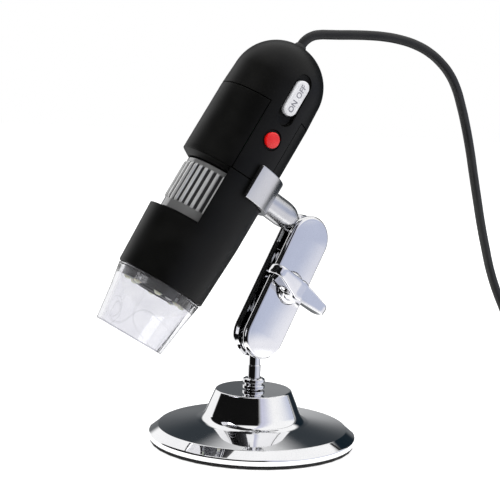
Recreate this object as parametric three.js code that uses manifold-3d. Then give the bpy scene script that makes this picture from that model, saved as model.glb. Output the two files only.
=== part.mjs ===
// A hand-held digital microscope with a ring of lamps, clipped to a small weighted chrome stand.
// Lengths are millimetres, +Z is up, and the origin is the centre of the stand's underside.

import * as THREE from 'three';
import { mergeVertices } from 'three/addons/utils/BufferGeometryUtils.js';
import Module from 'manifold-3d';

// Fits
const seatGap = 0.3;
const runGap = 0.3;
const socketGap = 0.4;
const seamGap = 0.3;
const overrun = 5;
const weldDistance = 0.0001;
const finestDetail = 0.02;

// Facets round a full circle, and along a rounded edge
const baseSides = 36;
const ringSides = 32;
const innerSides = 20;
const tinySides = 8;
const domeSteps = 7;
const roundSteps = 4;

// Stand base
const baseRadius = 36;
const baseRimHeight = 2.6;
const baseEdgeRadius = 32.3;
const baseEdgeHeight = 5.2;
const baseWall = 1.6;
const rimRound = 0.9;
const dishCrown = 0.3;
const hubRound = 0.8;
const padThickness = 0.8;
const padInset = 0.6;
const hubHeight = 18.4;
const hubRadius = 13.2;
const hubFootRadius = 16.2;
const hubFootHeight = 10.6;
const dishFootRadius = 19.5;
const dishFootHeight = 7.9;
const weightRadius = 29;
const weightThickness = 1.6;
const weightCoreRadius = 10.5;
const weightCoreHeight = 12.4;
const weightBoreRadius = 6;

// Lower ball stud with its collar and nut
const lowerBallHeight = 35.2;
const ballRadius = 3.9;
const stemRadius = 2.2;
const neckRadius = 2;
const neckLength = 8.4;
const stemThreadRadius = 1.9;
const stemTailHeight = 11.6;
const collarRadius = 3.85;
const collarGrooveRadius = 3.2;
const collarHeight = 5.4;
const collarGrooveShares = [0, 2 / 6, 2.5 / 6, 3 / 6, 3.5 / 6, 5.5 / 6, 1];
const nutAcrossFlats = 8;
const nutThickness = 3.2;

// Arm: two half shells that clamp both balls
const armLean = THREE.MathUtils.degToRad(29.3);
const armAzimuth = THREE.MathUtils.degToRad(37.5);
const ballSpacing = 43;
const shellOverhang = 5.5;
const shellHalfWidth = 8.4;
const shellDepth = 4;
const shellGap = 2.3;
const shellWall = 1.1;
const shellFillet = 2.6;
const socketLand = 3.2;
const dimpleRadius = 6.2;
const dimpleDepth = 1;
const nutSeatWall = 1.4;
const lowerTiltRange = [-10, 25].map(THREE.MathUtils.degToRad);
const upperTiltRange = [-8, 20].map(THREE.MathUtils.degToRad);
const slotMargin = THREE.MathUtils.degToRad(4);

// Wing bolt through the arm's middle
const boltRadius = 2.5;
const boltFlangeRadius = 5.6;
const boltFlangeThickness = 1.2;
const boltHubRadius = 4;
const boltTipRadius = 3.4;
const boltHubHeight = 8.6;
const wingSpan = 27.8;
const wingThickness = 3.6;
const wingHeight = 5;
const wingRise = 0.7;
const wingRound = 0.7;
const wingTurn = THREE.MathUtils.degToRad(-8.5);

// Upper ball stud and the clip that grips the microscope
const studTilt = THREE.MathUtils.degToRad(1.24);
const gripTwist = THREE.MathUtils.degToRad(6.5);
const clipReach = 42;
const clipWidth = 11.9;
const clipWall = 1.9;
const clipHalfAngle = THREE.MathUtils.degToRad(93);
const clipHeight = 43.15;
const bossRadius = 4.7;
const bossShoulder = 9;
const bossEnd = 33.2;
const bossMouthRadius = 3;
const tenonRadius = 1.6;
const studShaftRadius = 1.5;
const studShaftLength = 6.5;

// Microscope housing: heights run along its axis from the collar's lower edge towards the dome
const bodyRadius = 16.5;
const collarFootRadius = 15.6;
const bodyTopRadius = 16.4;
const housingWall = 1.8;
const collarWall = 1.2;
const collarLength = 21.7;
const windowLength = 21.3;
const tongueLength = 25.4;
const domeRadius = 16;
const domeRise = 8.1;
const spigotLength = 5;
const spigotWall = 1.5;
const stepThickness = 1.7;
const lipRadius = 13.6;
const lipDrop = 1.6;
const bridgeAngles = [-121, 93].map(THREE.MathUtils.degToRad);
const tongueAngles = [-119.8, -69.7].map(THREE.MathUtils.degToRad);
const buttonAngle = THREE.MathUtils.degToRad(-95);

// Clear nose cap
const capLength = 20.1;
const capTipRadius = 12.2;
const capKinkRadius = 13.7;
const capKinkDrop = 8.8;
const capRootRadius = 15.2;
const capWall = 1.5;
const capSpigotWall = 1;
const capSpigotLength = 5;
const capPocketDrop = 3.5;

// Chassis that carries the lens, the lamps and the focus ring
const chassisWall = 2;
const chassisFloor = 1.2;
const boardSeatThickness = 3.2;
const boardRimWall = 0.6;
const boardRimProud = 0.6;
const chassisRibHeight = 6;
const chassisRibThickness = 2;
const ringShoulderRadius = 13;
const ringShoulderThickness = 2.3;
const chassisRise = 5.7;
const chassisHeadThickness = 2.5;
const notchWidth = 1.6;
const notchDepth = 0.9;
const notchAngles = [-153, -88].map(THREE.MathUtils.degToRad);

// Focus ring
const ringRadius = 13.6;
const ringBandRadius = 13.1;
const ringBandLow = 3;
const ringBandHigh = 1.4;
const ribCount = 36;
const ribWidth = 1.25;
const ribFootShare = 1.4;
const ribCrestShare = 0.8;
const grooveDepth = 1.2;

// Lens barrel, its travel and its follower pin
const barrelRadius = 8.4;
const barrelLength = 33;
const barrelProud = 2.3;
const barrelWall = 1.5;
const barrelMouthRadius = 6.6;
const barrelMouthDepth = 1.5;
const barrelStepRadius = 4.6;
const barrelStepDepth = 1.2;
const barrelBoreRadius = 3.5;
const barrelWebThickness = 3;
const lensRadius = 3.2;
const lensThickness = 1.8;
const lensBulge = 0.6;
const lensBulgeShare = 0.75;
const retainerRadius = 4.2;
const retainerThickness = 0.8;
const lensTravel = 6;
const lensTurn = THREE.MathUtils.degToRad(300);
const pinRadius = 1;
const pinHeight = 27;

// Lamp board
const lampBoardThickness = 1;
const lampCircle = 10.25;
const lampCount = 8;
const lampRadius = 1.5;
const lampLength = 1.3;
const lampOutlineShares = [[0, 1], [0.7, 0.87], [1, 0.55], [1, 0], [0, 0]];
const screwHeadRadius = 1.2;
const screwHeadThickness = 0.7;
const screwFaceShare = 0.8;
const screwRadius = 0.7;
const screwLength = 2.6;

// Electronics
const boardThickness = 1;
const sensorSize = 6.5;
const sensorThickness = 1.2;
const mainBoardOffset = 8;
const mainBoardWidth = 15.4;
const mainBoardLength = 29.5;
const tactSize = 4.6;
const tactHeight = 1.8;
const tactButtonRadius = 1.1;
const tactButtonHeight = 0.5;
const slideBodyLength = 8.6;
const slideBodyWidth = 3.6;
const slideBodyHeight = 1.6;

// Snapshot button
const buttonRise = 14.7;
const buttonRadius = 2.65;
const buttonClearance = 0.35;
const buttonProud = 0.8;
const buttonDome = 0.5;
const buttonCrownShares = [[1, 1], [0.85, 0.45], [0.5, 0.12], [0, 0]];
const buttonSink = 0.6;
const buttonRingRadius = 3.7;
const buttonRingDepth = 0.5;
const buttonStemRadius = 1;
const buttonTravel = 0.5;

// Lamp switch
const switchRise = 16;
const switchLength = 12.7;
const switchWidth = 4.8;
const switchTravel = 3;
const switchSideRoom = 0.7;
const switchUpperRoom = 2.2;
const switchLowerRoom = 0.9;
const switchFloor = 14.2;
const switchFloorThickness = 1.6;
const switchProud = 0.3;
const switchStemLength = 4;
const switchStemWidth = 2;

// Cord outlet, cord, coil and plug
const cordDiameter = 3.3;
const outletRadius = 2.1;
const clampRadius = 4.5;
const clampWaistRadius = 3.2;
const clampThickness = 1.2;
const cordSides = 8;
const cordSteps = 50;
const coilSides = 6;
const coilLoopSteps = 24;
const coilLoops = 8 + 110 / 360;
const coilLayers = 4;
const coilMeanRadius = 18;
const coilPitch = 3.9;
const coilLayerRise = 3.85;
const coilCentre = [123.2, 21.9];
const coilStartAngle = THREE.MathUtils.degToRad(90);
const coilFloorGap = 0.05;
const tailSteps = 6;
const plugBodyLength = 24;
const plugBodyWidth = 14;
const plugBodyHeight = 7.6;
const plugBodyRound = 2;
const plugShellLength = 12;
const plugShellWidth = 12;
const plugShellHeight = 4.5;
const plugShellWall = 0.4;
const plugTongueHeight = 1.8;
const plugFloorGap = 0.05;

// The cord's free stretch, from the outlet in the dome to the top of the coil, in the part's frame
const cordRoute = [
  [9.943, 0.96, 134.046],
  [10.718, 1.319, 135.458],
  [11.493, 1.678, 136.87],
  [13.15, 2.34, 138.96],
  [15.39, 3.07, 140.38],
  [17.98, 3.79, 140.96],
  [21, 4.6, 141.1],
  [24.6, 5.5, 141.2],
  [29.2, 6.7, 141.4],
  [34.8, 8.2, 141.5],
  [40.5, 9.9, 141.3],
  [45.9, 11.8, 140.6],
  [51.3, 13.6, 139.2],
  [56.5, 15.4, 136.8],
  [60.9, 17.1, 133.5],
  [64.6, 19, 129.5],
  [67.5, 21.1, 124.7],
  [69.9, 23.4, 118.8],
  [72.3, 25.9, 111.7],
  [74.8, 28.8, 103.1],
  [77.2, 32.1, 93.7],
  [79.7, 35.4, 84.1],
  [82.1, 38.6, 75.1],
  [84.8, 41.8, 66.1],
  [87.6, 44.6, 57.3],
  [91, 46.7, 48.8],
  [94.6, 47.7, 41],
  [97.6, 48, 33.8],
  [100.1, 47.8, 27.6],
  [102.4, 47.4, 22.6],
  [105.1, 46.9, 18.5],
  [108.5, 46.3, 15.5],
  [112.3, 45.7, 13.8],
  [116.387, 45.043, 13.25],
  [118.016, 44.781, 13.25],
  [119.646, 44.52, 13.25],
];

// The cord's last stretch, from under the coil to the plug, measured from where the coil ends:
// along the coil's last direction, to the left of it, and upwards
const tailRoute = [
  [0.3, 0, 0],
  [4, 0, 0],
  [8, 0, 0.5],
  [12, 0, 1.5],
  [16, 0, 2.15],
  [20, 0, 2.15],
];

// Materials
const finish = (color, roughness, metalness, opacity = 1) => new THREE.MeshStandardMaterial({
  color, roughness, metalness, opacity, transparent: opacity < 1,
});
const chrome = finish(0xd8d8dc, 0.06, 1);
const steel = finish(0xa8a8aa, 0.35, 1);
const castIron = finish(0x4a4a4c, 0.7, 0.9);
const satinClip = finish(0xd6d4d2, 0.28, 0.9);
const blackSoft = finish(0x141414, 0.45, 0);
const blackPlastic = finish(0x0c0c0d, 0.35, 0);
const blackRubber = finish(0x101011, 0.7, 0);
const ringMetal = finish(0xc4c4c8, 0.12, 1);
const clearPlastic = finish(0xeeeef4, 0.05, 0, 0.35);
const lensGlass = finish(0x30343c, 0.02, 0, 0.5);
const lampResin = finish(0xefe6b8, 0.25, 0);
const boardGrey = finish(0x8e9294, 0.6, 0);
const boardGreen = finish(0x1c5a34, 0.5, 0);
const redPlastic = finish(0xe01414, 0.25, 0);
const whitePlastic = finish(0xf0f0f2, 0.35, 0);
const padFoam = finish(0x0a0a0a, 0.9, 0);

// Worked-out places on the microscope's axis
const seamHeight = collarLength + windowLength;
const domeSeamHeight = seamHeight + tongueLength;
const domeCentreHeight = domeSeamHeight + domeRise;
const domeBore = domeRadius - housingWall;
const clampHeight = domeCentreHeight + Math.sqrt(domeBore ** 2 - clampRadius ** 2) - socketGap;
const housingBore = bodyRadius - housingWall;
const spigotRadius = housingBore - seatGap;
const spigotBore = spigotRadius - spigotWall;
const collarBore = collarFootRadius - collarWall;
const capSpigotRadius = collarBore - seatGap;
const capSpigotBore = capSpigotRadius - capSpigotWall;
const ringTop = seamHeight - stepThickness - seatGap;
const ringShoulderTop = collarLength + seatGap;
const ringBase = ringShoulderTop + seatGap;
const chassisBore = barrelRadius + runGap;
const chassisRadius = chassisBore + chassisWall;
const ringBore = chassisRadius + runGap;
const chassisTop = seamHeight + chassisRise;
const sensorBoardBase = chassisTop + seatGap;
const mainBoardBase = sensorBoardBase + boardThickness + seatGap;
const buttonHeight = seamHeight + buttonRise;
const switchHeight = buttonHeight + switchRise;
const lampBoardTop = -chassisFloor - seatGap;
const lampBoardBase = lampBoardTop - lampBoardThickness;
const boardRimBore = capSpigotBore - seatGap - boardRimWall;
const boardRimBase = lampBoardBase - boardRimProud;
const lampBoardRadius = boardRimBore - seatGap;
const barrelFront = lampBoardBase - barrelProud + lampBoardThickness;

const wasm = await Module();
wasm.setup();

// Small makers

// Turns a closed three.js geometry into a solid that can be joined and cut.
function solid(geometry) {
  const bare = geometry.clone();
  bare.deleteAttribute('normal');
  bare.deleteAttribute('uv');
  const merged = mergeVertices(bare, weldDistance);
  const corners = Array.from(merged.index.array);
  const kept = [];
  for (let i = 0; i < corners.length; i += 3) {
    const [a, b, c] = corners.slice(i, i + 3);
    if (a !== b && b !== c && c !== a) kept.push(a, b, c);
  }
  return new wasm.Manifold(new wasm.Mesh({
    numProp: 3,
    vertProperties: new Float32Array(merged.attributes.position.array),
    triVerts: new Uint32Array(kept),
  }));
}

// Turns a joined or cut solid back into a three.js geometry.
function shapeOf(body) {
  const mesh = body.simplify(finestDetail).getMesh();
  const geometry = new THREE.BufferGeometry();
  geometry.setAttribute('position', new THREE.BufferAttribute(new Float32Array(mesh.vertProperties), 3));
  geometry.setIndex(Array.from(mesh.triVerts));
  geometry.computeVertexNormals();
  return geometry;
}

// Revolves [radius, height] points about Z. They run up the outside and down the inside.
function turned(points, sides = ringSides) {
  const outline = points.map(([radius, height]) => new THREE.Vector2(radius, height));
  const first = outline[0];
  const last = outline[outline.length - 1];
  if (first.x > 0 || last.x > 0) outline.push(first.clone());
  return new THREE.LatheGeometry(outline, sides).rotateX(Math.PI / 2);
}

// A plain tube about Z.
function tube(outer, inner, low, high, sides = ringSides) {
  return turned([[outer, low], [outer, high], [inner, high], [inner, low]], sides);
}

// A round rod between two points.
function rod(radius, start, end, sides = innerSides) {
  const from = new THREE.Vector3(...start);
  const along = new THREE.Vector3(...end).sub(from);
  const geometry = new THREE.CylinderGeometry(radius, radius, along.length(), sides);
  const upright = new THREE.Vector3(0, 1, 0);
  geometry.applyQuaternion(new THREE.Quaternion().setFromUnitVectors(upright, along.clone().normalize()));
  const middle = from.addScaledVector(along, 1 / 2);
  return geometry.translate(middle.x, middle.y, middle.z);
}

// A box given by its lowest and highest corners.
function box(low, high) {
  const size = high.map((value, axis) => value - low[axis]);
  const middle = high.map((value, axis) => (value + low[axis]) / 2);
  return new THREE.BoxGeometry(...size).translate(...middle);
}

// A prism. An arc in its outline gets two facets for each curve segment.
function extruded(shape, depth, curveSegments = roundSteps) {
  return new THREE.ExtrudeGeometry(shape, { depth, bevelEnabled: false, curveSegments });
}

// A pie-shaped cutter about Z between two angles and two heights.
function wedge([from, to], low, high, radius = bodyRadius + overrun) {
  const pie = new THREE.Shape();
  pie.moveTo(0, 0);
  pie.lineTo(radius * Math.cos(from), radius * Math.sin(from));
  pie.absarc(0, 0, radius, from, to, false);
  pie.lineTo(0, 0);
  return extruded(pie, high - low, roundSteps * 2).translate(0, 0, low);
}

// Draws a pair of angles in at both ends by a length measured along an arc.
function drawnIn([from, to], length, radius) {
  return [from + length / radius, to - length / radius];
}

// A long outline with round ends, centred, its length along Y.
function longOval(length, width) {
  const radius = width / 2;
  const run = length / 2 - radius;
  const oval = new THREE.Shape();
  oval.moveTo(radius, -run);
  oval.lineTo(radius, run);
  oval.absarc(0, run, radius, 0, Math.PI, false);
  oval.lineTo(-radius, -run);
  oval.absarc(0, -run, radius, Math.PI, 2 * Math.PI, false);
  return oval;
}

// Turns a shape that stands on Z into one on the housing's side: Z becomes the way out from the
// axis at the button angle, and Y becomes the way along the axis.
function onButtonSide(geometry, height) {
  return geometry
    .rotateX(Math.PI / 2)
    .rotateZ(Math.PI / 2)
    .rotateZ(buttonAngle)
    .translate(0, 0, height);
}

function hexagonBar(acrossFlats, low, high) {
  const radius = acrossFlats / Math.sqrt(3);
  const angles = Array.from({ length: 6 }, (_, i) => (i * Math.PI) / 3);
  const corners = angles.map((angle) => (
    new THREE.Vector2(radius * Math.cos(angle), radius * Math.sin(angle))));
  const shape = new THREE.Shape(corners);
  return extruded(shape, high - low).translate(0, 0, low);
}

function hexNut(bore, low, high) {
  const hole = rod(bore, [0, 0, low - overrun], [0, 0, high + overrun]);
  return shapeOf(solid(hexagonBar(nutAcrossFlats, low, high)).subtract(solid(hole)));
}

// The points of a ball on a neck, seen from the side: they run from the neck over the ball's top.
function ballOutline(centre) {
  const start = Math.asin(neckRadius / ballRadius);
  const steps = roundSteps * 2;
  return Array.from({ length: steps + 1 }, (_, i) => {
    const angle = start + ((Math.PI - start) * i) / steps;
    return [i === steps ? 0 : ballRadius * Math.sin(angle), centre - ballRadius * Math.cos(angle)];
  });
}

// A round sectioned tube along a curve through points.
function cordTube(points, sides, steps) {
  const route = new THREE.CatmullRomCurve3(points.map((p) => new THREE.Vector3(...p)));
  route.arcLengthDivisions = steps * sides;
  const section = new THREE.Shape();
  section.absarc(0, 0, cordDiameter / 2, 0, 2 * Math.PI, false);
  return new THREE.ExtrudeGeometry(section, { steps, curveSegments: sides / 2, extrudePath: route });
}

function addPiece(parent, name, geometry, material) {
  const mesh = new THREE.Mesh(geometry, material);
  mesh.name = name;
  parent.add(mesh);
}

function addGroup(parent, position, rotation = [0, 0, 0], order = 'XYZ') {
  const group = new THREE.Group();
  group.position.set(...position);
  group.rotation.set(...rotation, order);
  parent.add(group);
  return group;
}

// Stand base

const padRadius = baseRadius - padInset;
const baseLipHeight = padThickness + seatGap;
const stemHoleRadius = stemThreadRadius + runGap;

function baseDish() {
  const roof = hubHeight - baseWall;
  const rimBore = baseRadius - baseWall;
  return turned([
    [baseRadius - rimRound, baseLipHeight],
    [baseRadius, baseLipHeight + rimRound],
    [baseRadius, baseRimHeight],
    [baseRadius - rimRound, (baseRimHeight + baseEdgeHeight) / 2],
    [baseEdgeRadius + rimRound, baseEdgeHeight],
    [baseEdgeRadius, baseEdgeHeight + dishCrown],
    [dishFootRadius, dishFootHeight],
    [(dishFootRadius + hubFootRadius) / 2, (dishFootHeight + hubFootHeight) / 2 - dishCrown],
    [hubFootRadius, hubFootHeight],
    [hubRadius, hubHeight - hubRound],
    [hubRadius - hubRound, hubHeight],
    [stemHoleRadius, hubHeight],
    [stemHoleRadius, roof],
    [hubRadius - baseWall - hubRound, roof],
    [hubFootRadius - baseWall, hubFootHeight - baseWall],
    [dishFootRadius - baseWall, dishFootHeight - baseWall],
    [baseEdgeRadius - baseWall, baseEdgeHeight - baseWall],
    [rimBore, baseRimHeight - rimRound],
    [rimBore, baseLipHeight],
  ], baseSides);
}

function baseWeight() {
  const floor = padThickness + seatGap;
  return turned([
    [weightRadius, floor],
    [weightRadius, floor + weightThickness],
    [weightCoreRadius, floor + 2 * weightThickness],
    [weightCoreRadius, weightCoreHeight],
    [weightBoreRadius, weightCoreHeight],
    [weightBoreRadius, floor],
  ]);
}

function stemCollar() {
  const bore = stemRadius + runGap;
  const foot = hubHeight + seatGap;
  const land = [collarRadius, collarRadius];
  const radii = [...land, collarGrooveRadius, collarGrooveRadius, ...land, collarGrooveRadius];
  const outside = radii.map((radius, i) => [radius, foot + collarHeight * collarGrooveShares[i]]);
  return turned([...outside, [bore, foot + collarHeight], [bore, foot]], innerSides);
}

function lowerStud() {
  return turned([
    [0, stemTailHeight],
    [stemThreadRadius, stemTailHeight],
    [stemThreadRadius, hubHeight + seatGap],
    [stemRadius, hubHeight + seatGap],
    [stemRadius, lowerBallHeight - neckLength],
    [neckRadius, lowerBallHeight - neckLength + seatGap],
    ...ballOutline(lowerBallHeight),
  ], innerSides);
}

function addStand(parent) {
  const roof = hubHeight - baseWall;
  const pad = [[0, 0], [padRadius, 0], [padRadius, padThickness], [0, padThickness]];
  addPiece(parent, 'base_pad', turned(pad, baseSides), padFoam);
  addPiece(parent, 'base_dish', baseDish(), chrome);
  addPiece(parent, 'base_weight', baseWeight(), castIron);
  addPiece(parent, 'stem_collar', stemCollar(), chrome);
  const nutTop = roof - seatGap;
  addPiece(parent, 'stem_nut', hexNut(stemHoleRadius, nutTop - nutThickness, nutTop), steel);
  addPiece(parent, 'lower_ball_stud', lowerStud(), chrome);
}

// Arm. Its frame has X across the shells, Y along the arm and Z out of the front shell.

const shellRim = shellGap / 2;
const shellFace = shellRim + shellDepth;
const nutPocket = shellDepth - nutSeatWall;

// The room that a ball stud's neck sweeps as it swings, between two directions seen from the front.
function studSlot(centreY, swing) {
  const radius = neckRadius + runGap;
  const reach = shellHalfWidth + shellOverhang;
  const slab = wedge(swing, -radius, radius, reach).translate(0, centreY, 0);
  const tips = swing.map((a) => [reach * Math.cos(a), centreY + reach * Math.sin(a), 0]);
  const ends = tips.map((tip) => solid(rod(radius, [0, centreY, 0], tip)));
  return solid(slab).add(ends[0]).add(ends[1]);
}

function clampShell(side) {
  const length = ballSpacing + 2 * shellOverhang;
  const outline = longOval(length, 2 * shellHalfWidth);
  const whole = new THREE.ExtrudeGeometry(outline, {
    depth: 2 * (shellFace - shellFillet),
    bevelThickness: shellFillet,
    bevelSize: shellFillet,
    bevelOffset: -shellFillet,
    bevelSegments: roundSteps,
    curveSegments: innerSides / 4,
  }).translate(0, 0, shellFillet - shellFace);
  const span = [shellHalfWidth + overrun, length];
  const slab = (near, far) => {
    const [low, high] = [side * near, side * far].sort((a, b) => a - b);
    return solid(box([-span[0], -span[1], low], [span[0], span[1], high]));
  };
  const pocket = longOval(ballSpacing - 2 * (ballRadius + socketLand), 2 * (shellHalfWidth - shellWall));
  const room = solid(extruded(pocket, 2 * (shellFace - shellWall)).translate(0, 0, shellWall - shellFace));
  const post = solid(rod(shellHalfWidth, [0, 0, -shellFace], [0, 0, shellFace]));
  const hole = solid(rod(boltRadius + runGap, [0, 0, -shellFace - overrun], [0, 0, shellFace + overrun]));
  const lean = armLean - Math.PI / 2;
  const lowerSwing = lowerTiltRange.map((a, i) => lean + a + (i ? slotMargin : -slotMargin));
  const upperLean = Math.PI - studTilt;
  const upperSwing = upperTiltRange.map((a, i) => upperLean - a + (i ? -slotMargin : slotMargin)).reverse();
  const socket = new THREE.SphereGeometry(ballRadius + socketGap, innerSides, innerSides / 2);
  const ball = (y) => solid(socket.clone().translate(0, y, 0));
  let shell = solid(whole).intersect(slab(shellRim, shellFace + overrun));
  shell = shell.subtract(room.subtract(post)).subtract(hole);
  const half = ballSpacing / 2;
  shell = shell.subtract(ball(-half)).subtract(ball(half));
  shell = shell.subtract(studSlot(-half, lowerSwing)).subtract(studSlot(half, upperSwing));
  if (side > 0) {
    const dimple = rod(dimpleRadius, [0, 0, shellFace - dimpleDepth], [0, 0, shellFace + overrun]);
    return shapeOf(shell.subtract(solid(dimple)));
  }
  const pocketFlats = nutAcrossFlats + 2 * seatGap;
  const nutRoom = hexagonBar(pocketFlats, -shellFace - overrun, nutPocket - shellFace);
  return shapeOf(shell.subtract(solid(nutRoom)));
}

function wingBolt() {
  const seat = shellFace - dimpleDepth + seatGap;
  const tail = nutPocket - shellFace - seatGap - nutThickness;
  const body = turned([
    [0, tail],
    [boltRadius, tail],
    [boltRadius, seat],
    [boltFlangeRadius, seat],
    [boltFlangeRadius, seat + boltFlangeThickness],
    [boltHubRadius, seat + 1.5 * boltFlangeThickness],
    [boltTipRadius, seat + boltHubHeight - wingRound],
    [boltTipRadius - wingRound, seat + boltHubHeight],
    [0, seat + boltHubHeight],
  ], innerSides);
  const half = wingSpan / 2 - wingRound;
  const foot = seat + boltFlangeThickness + wingRise;
  const top = foot + wingHeight;
  const wing = new THREE.Shape();
  wing.moveTo(0, foot);
  wing.lineTo(half - wingHeight / 2, foot);
  wing.quadraticCurveTo(half, foot, half, foot + wingHeight / 2);
  wing.quadraticCurveTo(half, top + wingRise, half - wingHeight / 2, top + wingRise);
  wing.quadraticCurveTo(boltTipRadius, top, 0, top - wingRise);
  wing.quadraticCurveTo(-boltTipRadius, top, wingHeight / 2 - half, top + wingRise);
  wing.quadraticCurveTo(-half, top + wingRise, -half, foot + wingHeight / 2);
  wing.quadraticCurveTo(-half, foot, wingHeight / 2 - half, foot);
  const plate = new THREE.ExtrudeGeometry(wing, {
    depth: wingThickness - 2 * wingRound,
    bevelThickness: wingRound,
    bevelSize: wingRound,
    bevelSegments: 2,
    curveSegments: roundSteps,
  }).translate(0, 0, wingRound - wingThickness / 2).rotateX(Math.PI / 2).rotateZ(wingTurn);
  return shapeOf(solid(body).add(solid(plate)));
}

function addArm(parent) {
  const pocketFloor = nutPocket - shellFace;
  const nutFace = pocketFloor - seatGap;
  addPiece(parent, 'arm_rear_shell', clampShell(-1), chrome);
  addPiece(parent, 'arm_front_shell', clampShell(1), chrome);
  addPiece(parent, 'clamp_nut', hexNut(boltRadius + runGap, nutFace - nutThickness, nutFace), steel);
  addPiece(parent, 'wing_bolt', wingBolt(), chrome);
}

// Clip and upper stud. Their frame has its origin on the microscope's axis at the clip's middle,
// Z along that axis and X out to the upper ball.

const clipBore = bodyRadius + runGap;
const clipFace = clipBore + clipWall;

function clipBand() {
  const ring = solid(tube(clipFace, clipBore, -clipWidth / 2, clipWidth / 2));
  const reach = wedge([-clipHalfAngle, clipHalfAngle], -clipWidth, clipWidth, clipFace + overrun);
  const hole = rod(tenonRadius + seatGap, [0, 0, 0], [clipFace + overrun, 0, 0]);
  return shapeOf(ring.intersect(solid(reach)).subtract(solid(hole)));
}

function clipBoss() {
  const shoulder = clipFace + bossShoulder;
  const socket = studShaftRadius + runGap;
  const socketEnd = bossEnd - studShaftLength - seatGap;
  const dome = Array.from({ length: roundSteps + 1 }, (_, i) => {
    const angle = (i / roundSteps) * (Math.PI / 2);
    const drop = bossRadius - bossMouthRadius;
    return [bossMouthRadius + drop * Math.cos(angle), shoulder + (bossEnd - shoulder) * Math.sin(angle)];
  });
  const room = [[socket, bossEnd], [socket, socketEnd], [0, socketEnd]];
  const body = turned([[0, 0], [bossRadius, 0], ...dome, ...room], innerSides);
  const saddle = rod(clipFace + seatGap, [0, 0, -bodyRadius], [0, 0, bodyRadius], ringSides);
  const tenon = rod(tenonRadius, [clipBore + seatGap, 0, 0], [socketEnd, 0, 0]);
  return shapeOf(solid(body.rotateY(Math.PI / 2)).subtract(solid(saddle)).add(solid(tenon)));
}

function upperStud() {
  const shaftEnd = bossEnd - studShaftLength;
  return turned([
    [0, shaftEnd],
    [studShaftRadius, shaftEnd],
    [studShaftRadius, bossEnd + seatGap],
    [neckRadius, bossEnd + seatGap],
    ...ballOutline(clipReach),
  ], innerSides).rotateY(Math.PI / 2);
}

function addClip(parent) {
  addPiece(parent, 'clip_band', clipBand(), satinClip);
  addPiece(parent, 'clip_boss', clipBoss(), satinClip);
  addPiece(parent, 'upper_ball_stud', upperStud(), chrome);
}

// Microscope housing. Its frame has Z along the microscope's axis, from the collar's lower edge.

const windowAngles = [bridgeAngles[1], bridgeAngles[0] + 2 * Math.PI];

function lowerBody() {
  const seam = seamHeight - seamGap / 2;
  const step = seamHeight - stepThickness;
  const top = seamHeight + spigotLength;
  const wall = turned([
    [collarFootRadius, 0],
    [bodyRadius, collarLength],
    [bodyRadius, seam],
    [spigotRadius, seam],
    [spigotRadius, top],
    [spigotBore, top],
    [spigotBore, step],
    [collarBore, step],
    [collarBore, 0],
  ]);
  return shapeOf(solid(wall).subtract(solid(wedge(windowAngles, collarLength, top + overrun))));
}

function upperSleeve() {
  const low = seamHeight + seamGap / 2;
  const high = domeSeamHeight - seamGap / 2;
  const lipBase = seamHeight - lipDrop;
  const lipTop = seamHeight + lipDrop;
  const wall = turned([[bodyRadius, low], [bodyTopRadius, high], [housingBore, high], [housingBore, low]]);
  const lip = turned([
    [lipRadius, lipBase],
    [bodyRadius, seamHeight],
    [bodyRadius, lipTop],
    [spigotBore, lipTop],
    [spigotBore, lipBase],
  ]);
  const lipAngles = drawnIn(windowAngles, seamGap, bodyRadius);
  const tongueRoom = drawnIn(tongueAngles, -seamGap, bodyRadius);
  const lipReach = solid(wedge(lipAngles, lipBase - overrun, lipTop + overrun));
  const joined = solid(wall).add(solid(lip).intersect(lipReach));
  return shapeOf(joined.subtract(solid(wedge(tongueRoom, lipBase - overrun, high + overrun))));
}

// The upper housing's outer shape with its dome, from a given height up.
function domedOutline(low, radiusAtLow, inset) {
  const radius = domeRadius - inset;
  const arc = Array.from({ length: domeSteps + 1 }, (_, i) => {
    const angle = (i / domeSteps) * (Math.PI / 2);
    return [i === domeSteps ? 0 : radius * Math.cos(angle), domeCentreHeight + radius * Math.sin(angle)];
  });
  return turned([[0, low], [radiusAtLow, low], ...arc]);
}

const recessLow = switchHeight - switchLength / 2 - switchTravel - switchLowerRoom;
const recessHigh = switchHeight + switchLength / 2 + switchUpperRoom;
const recessLength = recessHigh - recessLow;
const recessHeight = (recessLow + recessHigh) / 2;
const recessWidth = switchWidth + 2 * switchSideRoom;

// An oval prism on the button side, between two distances from the axis.
function sideOval(length, width, near, far, height) {
  return solid(onButtonSide(extruded(longOval(length, width), far - near).translate(0, 0, near), height));
}

function sideRod(radius, near, far, height) {
  return solid(onButtonSide(rod(radius, [0, 0, near], [0, 0, far]), height));
}

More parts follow.
